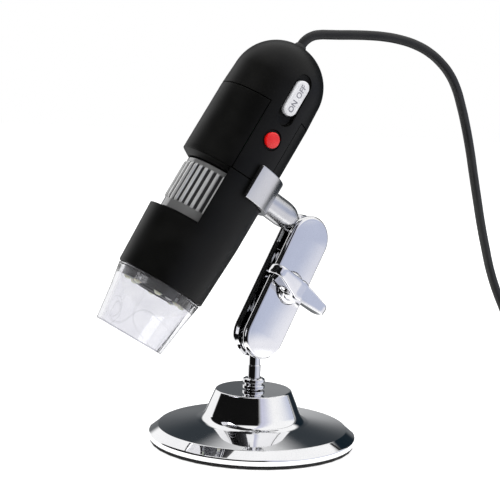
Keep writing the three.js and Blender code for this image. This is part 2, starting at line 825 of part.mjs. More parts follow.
function topCap() {
  const seam = domeSeamHeight + seamGap / 2;
  const outside = bodyRadius + overrun;
  const hollow = solid(domedOutline(seam - overrun, housingBore, housingWall));
  const shell = solid(domedOutline(seam, bodyTopRadius, 0)).subtract(hollow);
  const spigot = turned([
    [spigotRadius, domeSeamHeight - spigotLength],
    [spigotRadius, seam],
    [housingBore + seatGap, seam],
    [housingBore + seatGap, seam + spigotWall],
    [spigotBore, seam + spigotWall],
    [spigotBore, domeSeamHeight - spigotLength],
  ]);
  const tongueRing = tube(bodyTopRadius, housingBore, seamHeight + seamGap / 2, seam + spigotWall);
  const tongueReach = solid(wedge(tongueAngles, seamHeight - overrun, domeCentreHeight));
  const tongue = solid(tongueRing).intersect(tongueReach);
  const wellNear = switchFloor - switchFloorThickness;
  const wellSize = [recessLength + 2 * switchFloorThickness, recessWidth + 2 * switchFloorThickness];
  const well = sideOval(...wellSize, wellNear, bodyTopRadius, recessHeight)
    .intersect(solid(domedOutline(seamHeight, bodyTopRadius, 0)));
  const slotLength = switchStemLength + switchTravel + 2 * switchSideRoom;
  const slotWidth = switchStemWidth + 2 * seatGap;
  const slotHeight = switchHeight - switchTravel / 2;
  let cap = shell.add(solid(spigot)).add(tongue).add(well);
  cap = cap.subtract(sideOval(recessLength, recessWidth, switchFloor, outside, recessHeight));
  cap = cap.subtract(sideOval(slotLength, slotWidth, mainBoardOffset, outside, slotHeight));
  cap = cap.subtract(sideRod(buttonRadius + buttonClearance, mainBoardOffset, outside, buttonHeight));
  cap = cap.subtract(sideRod(buttonRingRadius, bodyTopRadius - buttonRingDepth, outside, buttonHeight));
  const domeTop = domeCentreHeight + domeRadius;
  const outlet = rod(outletRadius, [0, 0, domeCentreHeight], [0, 0, domeTop + overrun]);
  return shapeOf(cap.subtract(solid(outlet)));
}

function noseCap() {
  const pocket = -capPocketDrop;
  return turned([
    [capTipRadius, -capLength],
    [capKinkRadius, -capKinkDrop],
    [capRootRadius, -seatGap],
    [capSpigotRadius, -seatGap],
    [capSpigotRadius, capSpigotLength],
    [capSpigotBore, capSpigotLength],
    [capSpigotBore, pocket],
    [capKinkRadius - capWall, -capKinkDrop],
    [capTipRadius - capWall, -capLength],
  ]);
}

// Chassis, focus ring and lens

function chassis() {
  const flangeRadius = capSpigotBore - seatGap;
  const seatTop = boardSeatThickness - chassisFloor;
  const ribTop = chassisRibHeight + chassisRibThickness;
  const shoulderBase = ringShoulderTop - ringShoulderThickness;
  const headBase = seamHeight + seatGap;
  const headTop = headBase + chassisHeadThickness;
  const body = turned([
    [flangeRadius, boardRimBase],
    [flangeRadius, seatTop],
    [chassisRadius, seatTop],
    [chassisRadius, chassisRibHeight],
    [collarBore - seatGap, chassisRibHeight],
    [collarBore - seatGap, ribTop],
    [chassisRadius, ribTop],
    [chassisRadius, shoulderBase],
    [ringShoulderRadius, shoulderBase],
    [ringShoulderRadius, ringShoulderTop],
    [chassisRadius, ringShoulderTop],
    [chassisRadius, headBase],
    [spigotBore - seatGap, headBase],
    [spigotBore - seatGap, headTop],
    [chassisRadius, headTop],
    [chassisRadius, chassisTop],
    [chassisBore, chassisTop],
    [chassisBore, -chassisFloor],
    [boardRimBore, -chassisFloor],
    [boardRimBore, boardRimBase],
  ]);
  const slotHalf = pinRadius + runGap;
  const slotLow = pinHeight - slotHalf;
  const slotHigh = pinHeight + lensTravel + slotHalf;
  const slot = box([-chassisRadius - overrun, -slotHalf, slotLow], [0, slotHalf, slotHigh]);
  let frame = solid(body).subtract(solid(slot));
  for (const angle of notchAngles) {
    const notch = box([flangeRadius - notchDepth, -notchWidth / 2, boardRimBase - overrun],
      [flangeRadius + overrun, notchWidth / 2, seatTop + seatGap]);
    frame = frame.subtract(solid(notch.rotateZ(angle)));
  }
  for (const place of screwPlaces()) {
    const hole = rod(screwRadius + seatGap, [...place, -overrun], [...place, seatTop + seatGap]);
    frame = frame.subtract(solid(hole));
  }
  return shapeOf(frame);
}

// A bar of square section that climbs round Z, used to cut the ring's cam groove.
function helixBar(inner, outer, halfHeight, from, sweep, low, rise) {
  const steps = ribCount;
  const corners = [];
  for (let i = 0; i <= steps; i += 1) {
    const angle = from + (sweep * i) / steps;
    const height = low + (rise * i) / steps;
    for (const [radius, side] of [[inner, -1], [outer, -1], [outer, 1], [inner, 1]]) {
      corners.push(radius * Math.cos(angle), radius * Math.sin(angle), height + side * halfHeight);
    }
  }
  const faces = [0, 2, 1, 0, 3, 2];
  for (let i = 0; i < steps; i += 1) {
    for (let k = 0; k < 4; k += 1) {
      const a = 4 * i + k;
      const b = 4 * i + ((k + 1) % 4);
      faces.push(a, b, b + 4, a, b + 4, a + 4);
    }
  }
  const end = 4 * steps;
  faces.push(end, end + 1, end + 2, end, end + 2, end + 3);
  const geometry = new THREE.BufferGeometry();
  geometry.setAttribute('position', new THREE.BufferAttribute(new Float32Array(corners), 3));
  geometry.setIndex(faces);
  return geometry;
}

function focusRing() {
  const low = ringBase + ringBandLow;
  const high = ringTop - ringBandHigh;
  const gear = [];
  for (let i = 0; i < ribCount; i += 1) {
    const middle = (2 * Math.PI * i) / ribCount;
    const half = ribWidth / 2 / ringRadius;
    const foot = half * ribFootShare;
    const crest = half * ribCrestShare;
    const corners = [
      [ringBandRadius, -foot],
      [ringRadius, -crest],
      [ringRadius, crest],
      [ringBandRadius, foot],
    ];
    for (const [radius, turn] of corners) {
      gear.push(new THREE.Vector2(radius * Math.cos(middle + turn), radius * Math.sin(middle + turn)));
    }
  }
  const core = solid(rod(ringBore + seatGap, [0, 0, 0], [0, 0, domeCentreHeight]));
  const ribs = solid(extruded(new THREE.Shape(gear), high - low).translate(0, 0, low)).subtract(core);
  const band = solid(tube(ringBandRadius, ringBore, ringBase, ringTop));
  const climb = lensTravel / lensTurn;
  const end = (2 * pinRadius) / ringBore;
  const sweep = lensTurn + 2 * end;
  const groove = helixBar(ringBore - overrun, ringBore + grooveDepth, pinRadius + seatGap + runGap / 2,
    Math.PI + end, -sweep, pinHeight - climb * end, climb * sweep);
  return shapeOf(band.add(ribs).subtract(solid(groove)));
}

function lensBarrel() {
  const mouth = barrelFront + barrelMouthDepth;
  const step = mouth + barrelStepDepth;
  const web = step + barrelWebThickness;
  const body = turned([
    [barrelRadius, barrelFront],
    [barrelRadius, barrelFront + barrelLength],
    [barrelRadius - barrelWall, barrelFront + barrelLength],
    [barrelRadius - barrelWall, web],
    [barrelBoreRadius, web],
    [barrelBoreRadius, step],
    [barrelStepRadius, step],
    [barrelStepRadius, mouth],
    [barrelMouthRadius, mouth],
    [barrelMouthRadius, barrelFront],
  ]);
  const reach = ringBore + grooveDepth - runGap;
  const pin = rod(pinRadius, [-barrelRadius + barrelWall / 2, 0, pinHeight], [-reach, 0, pinHeight]);
  return shapeOf(solid(body).add(solid(pin)));
}

function lens() {
  const low = barrelFront + barrelMouthDepth + barrelStepDepth + seatGap;
  const high = low + lensThickness;
  return turned([
    [0, low - lensBulge],
    [lensRadius / 2, low - lensBulge * lensBulgeShare],
    [lensRadius, low],
    [lensRadius, high],
    [lensRadius / 2, high + lensBulge * lensBulgeShare],
    [0, high + lensBulge],
  ], innerSides);
}

function lensRetainer() {
  const low = barrelFront + barrelMouthDepth - seatGap;
  return tube(retainerRadius, retainerRadius - barrelWall, low, low + retainerThickness, innerSides);
}

// Lamp board

function screwPlaces() {
  const angles = [buttonAngle, buttonAngle + Math.PI];
  return angles.map((angle) => [lampCircle * Math.cos(angle), lampCircle * Math.sin(angle)]);
}

function lampBoard() {
  let board = solid(tube(lampBoardRadius, barrelRadius + runGap, lampBoardBase, lampBoardTop));
  for (const place of screwPlaces()) {
    const hole = rod(screwRadius + seatGap, [...place, lampBoardBase - overrun], [...place, overrun]);
    board = board.subtract(solid(hole));
  }
  return shapeOf(board);
}

function lamp(index) {
  const top = lampBoardBase - seatGap;
  const angle = buttonAngle + ((index + 1 / 2) / lampCount) * 2 * Math.PI;
  const outline = lampOutlineShares.map(([across, down]) => [lampRadius * across, top - lampLength * down]);
  const place = [lampCircle * Math.cos(angle), lampCircle * Math.sin(angle)];
  return turned(outline, tinySides).translate(...place, 0);
}

function boardScrew([x, y]) {
  const seat = lampBoardBase - seatGap;
  return turned([
    [0, seat - screwHeadThickness],
    [screwHeadRadius * screwFaceShare, seat - screwHeadThickness],
    [screwHeadRadius, seat - screwHeadThickness / 2],
    [screwHeadRadius, seat],
    [screwRadius, seat],
    [screwRadius, seat + screwLength],
    [0, seat + screwLength],
  ], tinySides).translate(x, y, 0);
}

// Electronics and controls

function mainBoard() {
  const board = box([mainBoardOffset, -mainBoardWidth / 2, mainBoardBase],
    [mainBoardOffset + boardThickness, mainBoardWidth / 2, mainBoardBase + mainBoardLength]);
  return board.rotateZ(buttonAngle);
}

function sideBlock(length, width, near, far, height) {
  const block = box([near, -width / 2, height - length / 2], [far, width / 2, height + length / 2]);
  return block.rotateZ(buttonAngle);
}

const boardFace = mainBoardOffset + boardThickness + seatGap;
const tactTop = boardFace + tactHeight + tactButtonHeight;

function tactSwitch() {
  const can = solid(sideBlock(tactSize, tactSize, boardFace, boardFace + tactHeight, buttonHeight));
  return shapeOf(can.add(sideRod(tactButtonRadius, boardFace, tactTop, buttonHeight)));
}

function snapshotButton() {
  const stemEnd = tactTop + seatGap + buttonTravel;
  const flangeRadius = buttonRadius + buttonSink;
  const flangeTop = Math.sqrt(housingBore ** 2 - flangeRadius ** 2) - seatGap;
  const flangeBase = flangeTop - buttonSink;
  const top = bodyTopRadius + buttonProud;
  return onButtonSide(turned([
    [0, stemEnd],
    [buttonStemRadius, stemEnd],
    [buttonStemRadius, flangeBase],
    [flangeRadius, flangeBase],
    [flangeRadius, flangeTop],
    [buttonRadius, flangeTop],
    ...buttonCrownShares.map(([across, down]) => [buttonRadius * across, top - buttonDome * down]),
  ], innerSides), buttonHeight);
}

function switchKnob() {
  const base = switchFloor + seatGap;
  const stemEnd = boardFace + slideBodyHeight + seatGap;
  const knob = sideOval(switchLength, switchWidth, base, bodyTopRadius + switchProud, switchHeight);
  const stem = sideOval(switchStemLength, switchStemWidth, stemEnd, base + seatGap, switchHeight);
  return shapeOf(knob.add(stem));
}

function slideSwitchBody() {
  const height = switchHeight - switchTravel / 2;
  return sideBlock(slideBodyLength, slideBodyWidth, boardFace, boardFace + slideBodyHeight, height);
}

function cableClamp() {
  return turned([
    [0, clampHeight - 3 * clampThickness],
    [clampRadius, clampHeight - 3 * clampThickness],
    [clampRadius, clampHeight - 2 * clampThickness],
    [clampWaistRadius, clampHeight - 2 * clampThickness],
    [clampWaistRadius, clampHeight - clampThickness],
    [clampRadius, clampHeight - clampThickness],
    [clampRadius, clampHeight],
    [0, clampHeight],
  ], innerSides);
}

function addMicroscope(parent) {
  const sensorLow = sensorBoardBase - seatGap - sensorThickness;
  const half = sensorSize / 2;
  addPiece(parent, 'lower_body', lowerBody(), blackSoft);
  addPiece(parent, 'upper_sleeve', upperSleeve(), blackSoft);
  addPiece(parent, 'top_cap', topCap(), blackSoft);
  addPiece(parent, 'nose_cap', noseCap(), clearPlastic);
  addPiece(parent, 'chassis', chassis(), blackPlastic);
  addPiece(parent, 'focus_ring', focusRing(), ringMetal);
  addPiece(parent, 'lens_barrel', lensBarrel(), blackPlastic);
  addPiece(parent, 'objective_lens', lens(), lensGlass);
  addPiece(parent, 'lens_retainer', lensRetainer(), blackPlastic);
  addPiece(parent, 'lamp_board', lampBoard(), boardGrey);
  for (let i = 0; i < lampCount; i += 1) addPiece(parent, `lamp_${i + 1}`, lamp(i), lampResin);
  screwPlaces().forEach((place, i) => addPiece(parent, `board_screw_${i + 1}`, boardScrew(place), steel));
  const sensorBoardTop = sensorBoardBase + boardThickness;
  const sensorBoardRadius = housingBore - seatGap;
  addPiece(parent, 'sensor_board', turned([
    [0, sensorBoardBase],
    [sensorBoardRadius, sensorBoardBase],
    [sensorBoardRadius, sensorBoardTop],
    [0, sensorBoardTop],
  ]), boardGreen);
  const sensor = box([-half, -half, sensorLow], [half, half, sensorLow + sensorThickness]);
  addPiece(parent, 'image_sensor', sensor, blackPlastic);
  addPiece(parent, 'main_board', mainBoard(), boardGreen);
  addPiece(parent, 'snapshot_switch', tactSwitch(), steel);
  addPiece(parent, 'snapshot_button', snapshotButton(), redPlastic);
  addPiece(parent, 'lamp_switch_body', slideSwitchBody(), steel);
  addPiece(parent, 'lamp_switch_knob', switchKnob(), whitePlastic);
  addPiece(parent, 'cable_clamp', cableClamp(), blackRubber);
}

// Cord, coil and plug, in the part's frame

// The coil's centre line: a spiral that runs in and out again, layer under layer, from the top.
function coilRoute() {
  const layerTurns = coilLoops / coilLayers;
  const swing = (coilPitch * layerTurns) / 2;
  const floor = coilFloorGap + cordDiameter / 2;
  const place = (turns) => {
    const phase = turns / layerTurns;
    const layer = Math.min(Math.floor(phase), coilLayers - 1);
    const inwards = layer % 2 === 0 ? 1 - 2 * (phase - layer) : 2 * (phase - layer) - 1;
    const radius = coilMeanRadius + swing * inwards;
    let fallen = 0;
    for (let k = 1; k < coilLayers; k += 1) {
      const share = THREE.MathUtils.clamp((turns - k * layerTurns) * 2 + 1 / 2, 0, 1);
      fallen += share * share * (3 - 2 * share);
    }
    const angle = coilStartAngle - turns * 2 * Math.PI;
    return new THREE.Vector3(
      coilCentre[0] + radius * Math.cos(angle),
      coilCentre[1] + radius * Math.sin(angle),
      floor + coilLayerRise * (coilLayers - 1 - fallen),
    );
  };
  const steps = Math.round(coilLoops * coilLoopSteps);
  const route = Array.from({ length: steps + 1 }, (_, i) => place((i / steps) * coilLoops));
  const lead = (end, next) => end.clone().add(end.clone().sub(next).setLength(cordDiameter));
  route.unshift(lead(route[0], route[1]));
  route.push(lead(route[steps + 1], route[steps]));
  return route;
}

function leastGap(route) {
  let least = Infinity;
  for (let i = 0; i < route.length; i += 1) {
    for (let k = i + coilLoopSteps / 2; k < route.length; k += 1) {
      least = Math.min(least, route[i].distanceTo(route[k]));
    }
  }
  return least - cordDiameter;
}

function roundedPlugBody() {
  const half = [plugBodyWidth / 2, plugBodyHeight / 2];
  const section = new THREE.Shape();
  section.moveTo(-half[0] + plugBodyRound, -half[1]);
  section.lineTo(half[0] - plugBodyRound, -half[1]);
  section.quadraticCurveTo(half[0], -half[1], half[0], -half[1] + plugBodyRound);
  section.lineTo(half[0], half[1] - plugBodyRound);
  section.quadraticCurveTo(half[0], half[1], half[0] - plugBodyRound, half[1]);
  section.lineTo(-half[0] + plugBodyRound, half[1]);
  section.quadraticCurveTo(-half[0], half[1], -half[0], half[1] - plugBodyRound);
  section.lineTo(-half[0], -half[1] + plugBodyRound);
  section.quadraticCurveTo(-half[0], -half[1], -half[0] + plugBodyRound, -half[1]);
  return extruded(section, plugBodyLength).rotateX(Math.PI / 2).rotateZ(Math.PI / 2);
}

function addCord(parent) {
  const coil = coilRoute();
  const end = coil[coil.length - 1];
  const before = coil[coil.length - 2];
  const heading = Math.atan2(end.y - before.y, end.x - before.x);
  console.log(`coil: least gap to itself ${leastGap(coil).toFixed(2)} mm`);
  addPiece(parent, 'usb_cable', cordTube(cordRoute, cordSides, cordSteps), blackRubber);
  const coilPoints = coil.map((point) => point.toArray());
  addPiece(parent, 'usb_cable_coil', cordTube(coilPoints, coilSides, coil.length - 1), blackRubber);
  const tail = addGroup(parent, end.toArray(), [0, 0, heading]);
  addPiece(tail, 'usb_cable_tail', cordTube(tailRoute, cordSides, tailSteps), blackRubber);
  const last = tailRoute[tailRoute.length - 1];
  const plugHeight = plugFloorGap + plugBodyHeight / 2 - end.z;
  const plug = addGroup(tail, [last[0] + seatGap, last[1], plugHeight]);
  addPiece(plug, 'usb_plug_body', roundedPlugBody(), blackPlastic);
  const outer = [plugShellWidth / 2, plugShellHeight / 2];
  const near = plugBodyLength + seatGap;
  const far = near + plugShellLength;
  const can = solid(box([near, -outer[0], -outer[1]], [far, outer[0], outer[1]]));
  const inner = outer.map((value) => value - plugShellWall);
  const mouth = box([near + plugShellWall, -inner[0], -inner[1]], [far + overrun, inner[0], inner[1]]);
  addPiece(plug, 'usb_plug_shell', shapeOf(can.subtract(solid(mouth))), steel);
  const tongueTop = inner[1] - seatGap;
  addPiece(plug, 'usb_plug_tongue', box(
    [near + plugShellWall + seatGap, -inner[0] + seatGap, tongueTop - plugTongueHeight],
    [far - plugShellWall, inner[0] - seatGap, tongueTop],
  ), whitePlastic);
}

// Assembly

const microscopeOnStand = new THREE.Group();
addStand(microscopeOnStand);
const arm = addGroup(microscopeOnStand, [0, 0, lowerBallHeight], [0, armLean, armAzimuth], 'ZYX');
addArm(addGroup(arm, [0, 0, ballSpacing / 2], [Math.PI / 2, 0, 0]));
const upperJoint = addGroup(arm, [0, 0, ballSpacing], [0, studTilt, 0]);
const grip = addGroup(upperJoint, [-clipReach, 0, 0], [gripTwist, 0, 0]);
addClip(grip);
addMicroscope(addGroup(grip, [0, 0, -clipHeight]));
addCord(microscopeOnStand);

export default microscopeOnStand;
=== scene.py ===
# A hand-held digital microscope in its clip on a chrome ball-joint stand, dressed for its picture.
# Every piece is worked out in millimetres in the frame of the part that carries it, and is then
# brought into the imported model's frame, in metres.
import math

import bmesh
import bpy
import numpy as np
from mathutils import Matrix, Vector


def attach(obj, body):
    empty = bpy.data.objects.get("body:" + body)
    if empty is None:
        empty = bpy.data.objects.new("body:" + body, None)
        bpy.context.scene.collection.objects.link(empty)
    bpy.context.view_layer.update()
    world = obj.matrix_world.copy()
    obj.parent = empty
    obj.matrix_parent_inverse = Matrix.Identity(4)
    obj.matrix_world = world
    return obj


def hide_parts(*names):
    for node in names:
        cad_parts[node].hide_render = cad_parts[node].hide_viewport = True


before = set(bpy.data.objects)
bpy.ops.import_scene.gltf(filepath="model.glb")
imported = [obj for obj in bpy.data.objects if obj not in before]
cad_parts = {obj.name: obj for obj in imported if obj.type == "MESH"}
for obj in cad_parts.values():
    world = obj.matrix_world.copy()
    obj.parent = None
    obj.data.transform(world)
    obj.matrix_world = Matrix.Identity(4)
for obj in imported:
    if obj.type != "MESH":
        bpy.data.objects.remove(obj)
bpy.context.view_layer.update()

MM = 0.001
# The gap that is left between two neighbouring pieces
CLEARANCE = 0.3


# Frames

def placement(origin, x, y, z):
    """The matrix from a part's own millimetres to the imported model's metres."""
    grid = np.eye(4)
    grid[:3, :3] = np.array([x, y, z]).T * MM
    grid[:3, 3] = np.array(origin) * MM
    return Matrix(grid.tolist())


ACROSS = (0.68330, 0.52431, -0.50814)
SIDEWAYS = (-0.55921, 0.82327, 0.09750)
ALONG = (0.46946, 0.21754, 0.85574)
STAND = placement((0, 0, 0), (1, 0, 0), (0, 1, 0), (0, 0, 1))
SCOPE = placement((-32.261, -18.597, 57.116), ACROSS, SIDEWAYS, ALONG)
CLIP = placement((-12.004, -9.211, 94.041), ACROSS, SIDEWAYS, ALONG)
ARM = placement((8.347, 6.405, 53.949), (0.69186, 0.53088, -0.48938), (0.38825, 0.29792, 0.87207),
                (0.60876, -0.79335, 0))
BUTTON_ANGLE = math.radians(-95)
# Height of the clear cap's tip along the housing's axis
CAP_TIP = -20.1


def on_side(height):
    """In the housing's millimetres: Z points out of its button side, Y runs up along its axis."""
    c, s = math.cos(BUTTON_ANGLE), math.sin(BUTTON_ANGLE)
    return Matrix(((-s, 0, c, 0), (c, 0, s, 0), (0, 1, 0, height), (0, 0, 0, 1)))


# Objects

def new_object(name, data):
    """A new object, in the scene."""
    made = bpy.data.objects.new(name, data)
    bpy.context.scene.collection.objects.link(made)
    return made


def evaluated(made):
    """An object's mesh, with its modifiers or its curve or text settings worked out."""
    graph = bpy.context.evaluated_depsgraph_get()
    return bpy.data.meshes.new_from_object(made.evaluated_get(graph))


# Camera

CAMERA_PLACE = np.array([0, -442.96, 122.84]) * MM
CAMERA_AHEAD = np.array([-0.0068, 0.9921, -0.1251])
CAMERA_UP = np.array([-0.0389, 0.1248, 0.9914])
CAMERA_LENS, CAMERA_SENSOR = 93.6, 36
CAMERA_NEAR, CAMERA_FAR = 0.02, 20


def add_camera():
    """The camera, with its upward direction squared to its line of sight."""
    ahead = CAMERA_AHEAD / np.linalg.norm(CAMERA_AHEAD)
    up = CAMERA_UP - ahead * (CAMERA_UP @ ahead)
    up /= np.linalg.norm(up)
    data = bpy.data.cameras.new("camera")
    data.lens, data.sensor_width = CAMERA_LENS, CAMERA_SENSOR
    data.clip_start, data.clip_end = CAMERA_NEAR, CAMERA_FAR
    camera = new_object("camera", data)
    grid = np.eye(4)
    grid[:3, :3] = np.array([np.cross(ahead, up), up, -ahead]).T
    grid[:3, 3] = CAMERA_PLACE
    camera.matrix_world = Matrix(grid.tolist())
    bpy.context.scene.camera = camera


# Shader nodes

def put(tree, kind, *inputs, **settings):
    """Adds a shader node. Its inputs are set or linked in order, and None leaves one as it is."""
    made = tree.nodes.new("ShaderNode" + kind)
    for name, value in settings.items():
        setattr(made, name, value)
    for socket, value in zip(made.inputs, inputs):
        if isinstance(value, bpy.types.NodeSocket):
            tree.links.new(value, socket)
        elif value is not None:
            socket.default_value = value
    return made


def calc(tree, operation, a, b=None):
    return put(tree, "Math", a, b, operation=operation).outputs[0]


def ramp(tree, value, low, high, first=0.0, last=1.0):
    """Value from low to high becomes first to last, smoothly, and stays level outside."""
    made = put(tree, "MapRange", value, low, high, first, last, interpolation_type="SMOOTHSTEP")
    return made.outputs[0]


def mixed(tree, share, first, second):
    """A colour: the first where share is 0, the second where it is 1."""
    made = put(tree, "Mix", data_type="RGBA")
    for at, value in ((0, share), (6, first), (7, second)):
        if isinstance(value, bpy.types.NodeSocket):
            tree.links.new(value, made.inputs[at])
        else:
            made.inputs[at].default_value = value
    return made.outputs[2]


def make_variation():
    """The node group that every finish uses: fine grain, broad unevenness and sparse specks."""
    group = bpy.data.node_groups.new("surface variation", "ShaderNodeTree")
    face = group.interface
    face.new_socket("Vector", in_out="INPUT", socket_type="NodeSocketVector")
    for name, value in (("Fine scale", 3000.0), ("Broad scale", 60.0)):
        face.new_socket(name, in_out="INPUT", socket_type="NodeSocketFloat").default_value = value
    for name in ("Fine", "Broad", "Specks"):
        face.new_socket(name, in_out="OUTPUT", socket_type="NodeSocketFloat")
    entry = group.nodes.new("NodeGroupInput")
    leave = group.nodes.new("NodeGroupOutput")
    where, fine, broad = entry.outputs[0], entry.outputs[1], entry.outputs[2]
    grain = put(group, "TexNoise", where, None, fine, 2.0, 0.55)
    slow = put(group, "TexNoise", where, None, broad, 3.0, 0.5)
    spots = put(group, "TexVoronoi", where, None, calc(group, "MULTIPLY", fine, 0.12))
    near = ramp(group, spots.outputs["Distance"], 0.0, 0.16, 1.0, 0.0)
    group.links.new(grain.outputs[0], leave.inputs[0])
    group.links.new(slow.outputs[0], leave.inputs[1])
    group.links.new(near, leave.inputs[2])
    return group


VARIATION = make_variation()
FINE_SHARE = 0.35
SPECK_TINT = (0.32, 0.32, 0.31, 1)


def finish(name, dark, light, rough, grain, waves, stretch=(1, 1, 1), specks=0.0, **sockets):
    """A finish: its colour and roughness drift between two values, and its bump has a fine grain
    and broad waves, each given as (size, depth) in millimetres."""
    made = bpy.data.materials.new(name)
    made.use_nodes = True
    tree = made.node_tree
    shader = tree.nodes["Principled BSDF"]
    place = put(tree, "TexCoord").outputs["Object"]
    if stretch != (1, 1, 1):
        place = put(tree, "Mapping", place, None, None, stretch).outputs[0]
    vary = tree.nodes.new("ShaderNodeGroup")
    vary.node_tree = VARIATION
    tree.links.new(place, vary.inputs[0])
    vary.inputs[1].default_value = 1 / (grain[0] * MM)
    vary.inputs[2].default_value = 1 / (waves[0] * MM)
    fine, broad, spots = vary.outputs
    tone = calc(tree, "MULTIPLY", fine, FINE_SHARE)
    tone = calc(tree, "ADD", tone, calc(tree, "MULTIPLY", broad, 1 - FINE_SHARE))
    tone = ramp(tree, tone, 0.35, 0.65)
    colour = mixed(tree, tone, (*dark, 1), (*light, 1))
    if specks:
        colour = mixed(tree, calc(tree, "MULTIPLY", spots, specks), colour, SPECK_TINT)
    tree.links.new(colour, shader.inputs["Base Color"])
    tree.links.new(ramp(tree, broad, 0.3, 0.7, *rough), shader.inputs["Roughness"])
    deep = calc(tree, "MULTIPLY", fine, grain[1] * MM)
    height = calc(tree, "ADD", deep, calc(tree, "MULTIPLY", broad, waves[1] * MM))
    bump = put(tree, "Bump", 1.0, 1.0)
    tree.links.new(height, bump.inputs["Height"])
    tree.links.new(bump.outputs[0], shader.inputs["Normal"])
    for socket, value in sockets.items():
        shader.inputs[socket.replace("_", " ")].default_value = value
    return made


FINISHES = {
    "chrome": finish("chrome plate", (0.86, 0.86, 0.875), (0.93, 0.93, 0.94), (0.025, 0.06),
                     (0.5, 0.0001), (16, 0.02), Metallic=1.0),
    "steel": finish("zinc-plated steel", (0.48, 0.48, 0.47), (0.62, 0.62, 0.60), (0.25, 0.4),
                    (0.15, 0.004), (6, 0.01), Metallic=1.0),
    "cast_iron": finish("painted casting", (0.05, 0.05, 0.052), (0.09, 0.09, 0.092), (0.6, 0.75),
                        (0.4, 0.05), (8, 0.1), Metallic=0.4),
    "satin_clip": finish("satin nickel", (0.66, 0.66, 0.67), (0.74, 0.74, 0.75), (0.24, 0.32),
                         (0.12, 0.0016), (9, 0.01), stretch=(1, 1, 0.2), Metallic=1.0),
    "black_soft": finish("soft-touch black paint", (0.0022, 0.0022, 0.0020), (0.0050, 0.0050, 0.0046),
                         (0.40, 0.48), (0.16, 0.010), (14, 0.012), specks=0.02,
                         Specular_IOR_Level=0.20),
    "black_plastic": finish("black moulding", (0.006, 0.006, 0.0065), (0.012, 0.012, 0.0125), (0.28, 0.4),
                            (0.3, 0.004), (7, 0.01), Specular_IOR_Level=0.45),
    "black_rubber": finish("black cord jacket", (0.007, 0.007, 0.007), (0.016, 0.016, 0.016), (0.36, 0.5),
                           (0.35, 0.008), (11, 0.03), Specular_IOR_Level=0.5),
    "ring_metal": finish("bright turned metal", (0.80, 0.80, 0.80), (0.92, 0.92, 0.92), (0.11, 0.17),
                         (0.02, 0.00002), (5, 0.002), stretch=(1, 1, 0.3), Metallic=0.6),
    "clear_plastic": finish("clear acrylic", (0.89, 0.89, 0.925), (0.94, 0.94, 0.965), (0.0, 0.03),
                            (0.9, 0.0004), (6, 0.03), IOR=1.47, Transmission_Weight=1.0),
    "lens_glass": finish("coated glass", (0.25, 0.22, 0.32), (0.36, 0.33, 0.44), (0.01, 0.03),
                         (0.5, 0.0001), (4, 0.0005), IOR=1.6, Transmission_Weight=0.85,
                         Coat_Weight=0.6),
    "lamp_resin": finish("pale yellow resin", (0.70, 0.66, 0.42), (0.88, 0.86, 0.66), (0.12, 0.3),
                         (0.25, 0.006), (1.6, 0.01), Coat_Weight=0.7, Subsurface_Weight=0.2),
    "board_grey": finish("grey lacquered board", (0.30, 0.31, 0.32), (0.46, 0.47, 0.48), (0.35, 0.5),
                         (0.2, 0.006), (5, 0.01), specks=0.4, Coat_Weight=0.3),
    "board_green": finish("green lacquered board", (0.006, 0.07, 0.025), (0.015, 0.13, 0.045), (0.3, 0.45),
                          (0.3, 0.006), (4, 0.01), specks=0.5, Coat_Weight=0.3),
    "red_plastic": finish("red moulding", (0.70, 0.006, 0.006), (0.86, 0.014, 0.012), (0.18, 0.3),
                          (0.3, 0.003), (3, 0.006), Coat_Weight=0.5, Coat_Roughness=0.1),
    "white_plastic": finish("white moulding", (0.74, 0.74, 0.77), (0.84, 0.84, 0.87), (0.28, 0.4),
                            (0.3, 0.003), (4, 0.006), Coat_Weight=0.2),
    "pad_foam": finish("black foam", (0.008, 0.008, 0.008), (0.022, 0.022, 0.022), (0.85, 0.95),
                       (0.5, 0.12), (5, 0.1)),
    "print": finish("grey print", (0.20, 0.20, 0.23), (0.30, 0.30, 0.34), (0.4, 0.5), (0.2, 0.002),
                    (2, 0.002)),
}


# Painted reflections: the clear cap's thin grey lines, given as noise scale, line width, strength and colour
REFLECTION_LINE_SCALE, REFLECTION_LINE_WIDTH, REFLECTION_LINE_SHARE, REFLECTION_LINE_TINT = 62.0, 0.009, 0.6, (0.60, 0.60, 0.63, 1)
# Painted shade: the clear cap's tint where it is seen edge-on and at its tip rim, and the tint in the ring's
# grooves
EDGE_ON_SHADE_TINT, TIP_RIM_SHADE_TINT, GROOVE_SHADE_TINT = (0.25, 0.25, 0.29, 1), (0.34, 0.34, 0.39, 1), (0.06, 0.06, 0.062, 1)
GROOVE_RADIUS, CROWN_RADIUS = 12.98, 13.3


def base_colour(made):
    """A finish's node tree, its base colour's socket and what feeds that."""
    tree = made.node_tree
    socket = tree.nodes["Principled BSDF"].inputs["Base Color"]
    return tree, socket, socket.links[0].from_socket


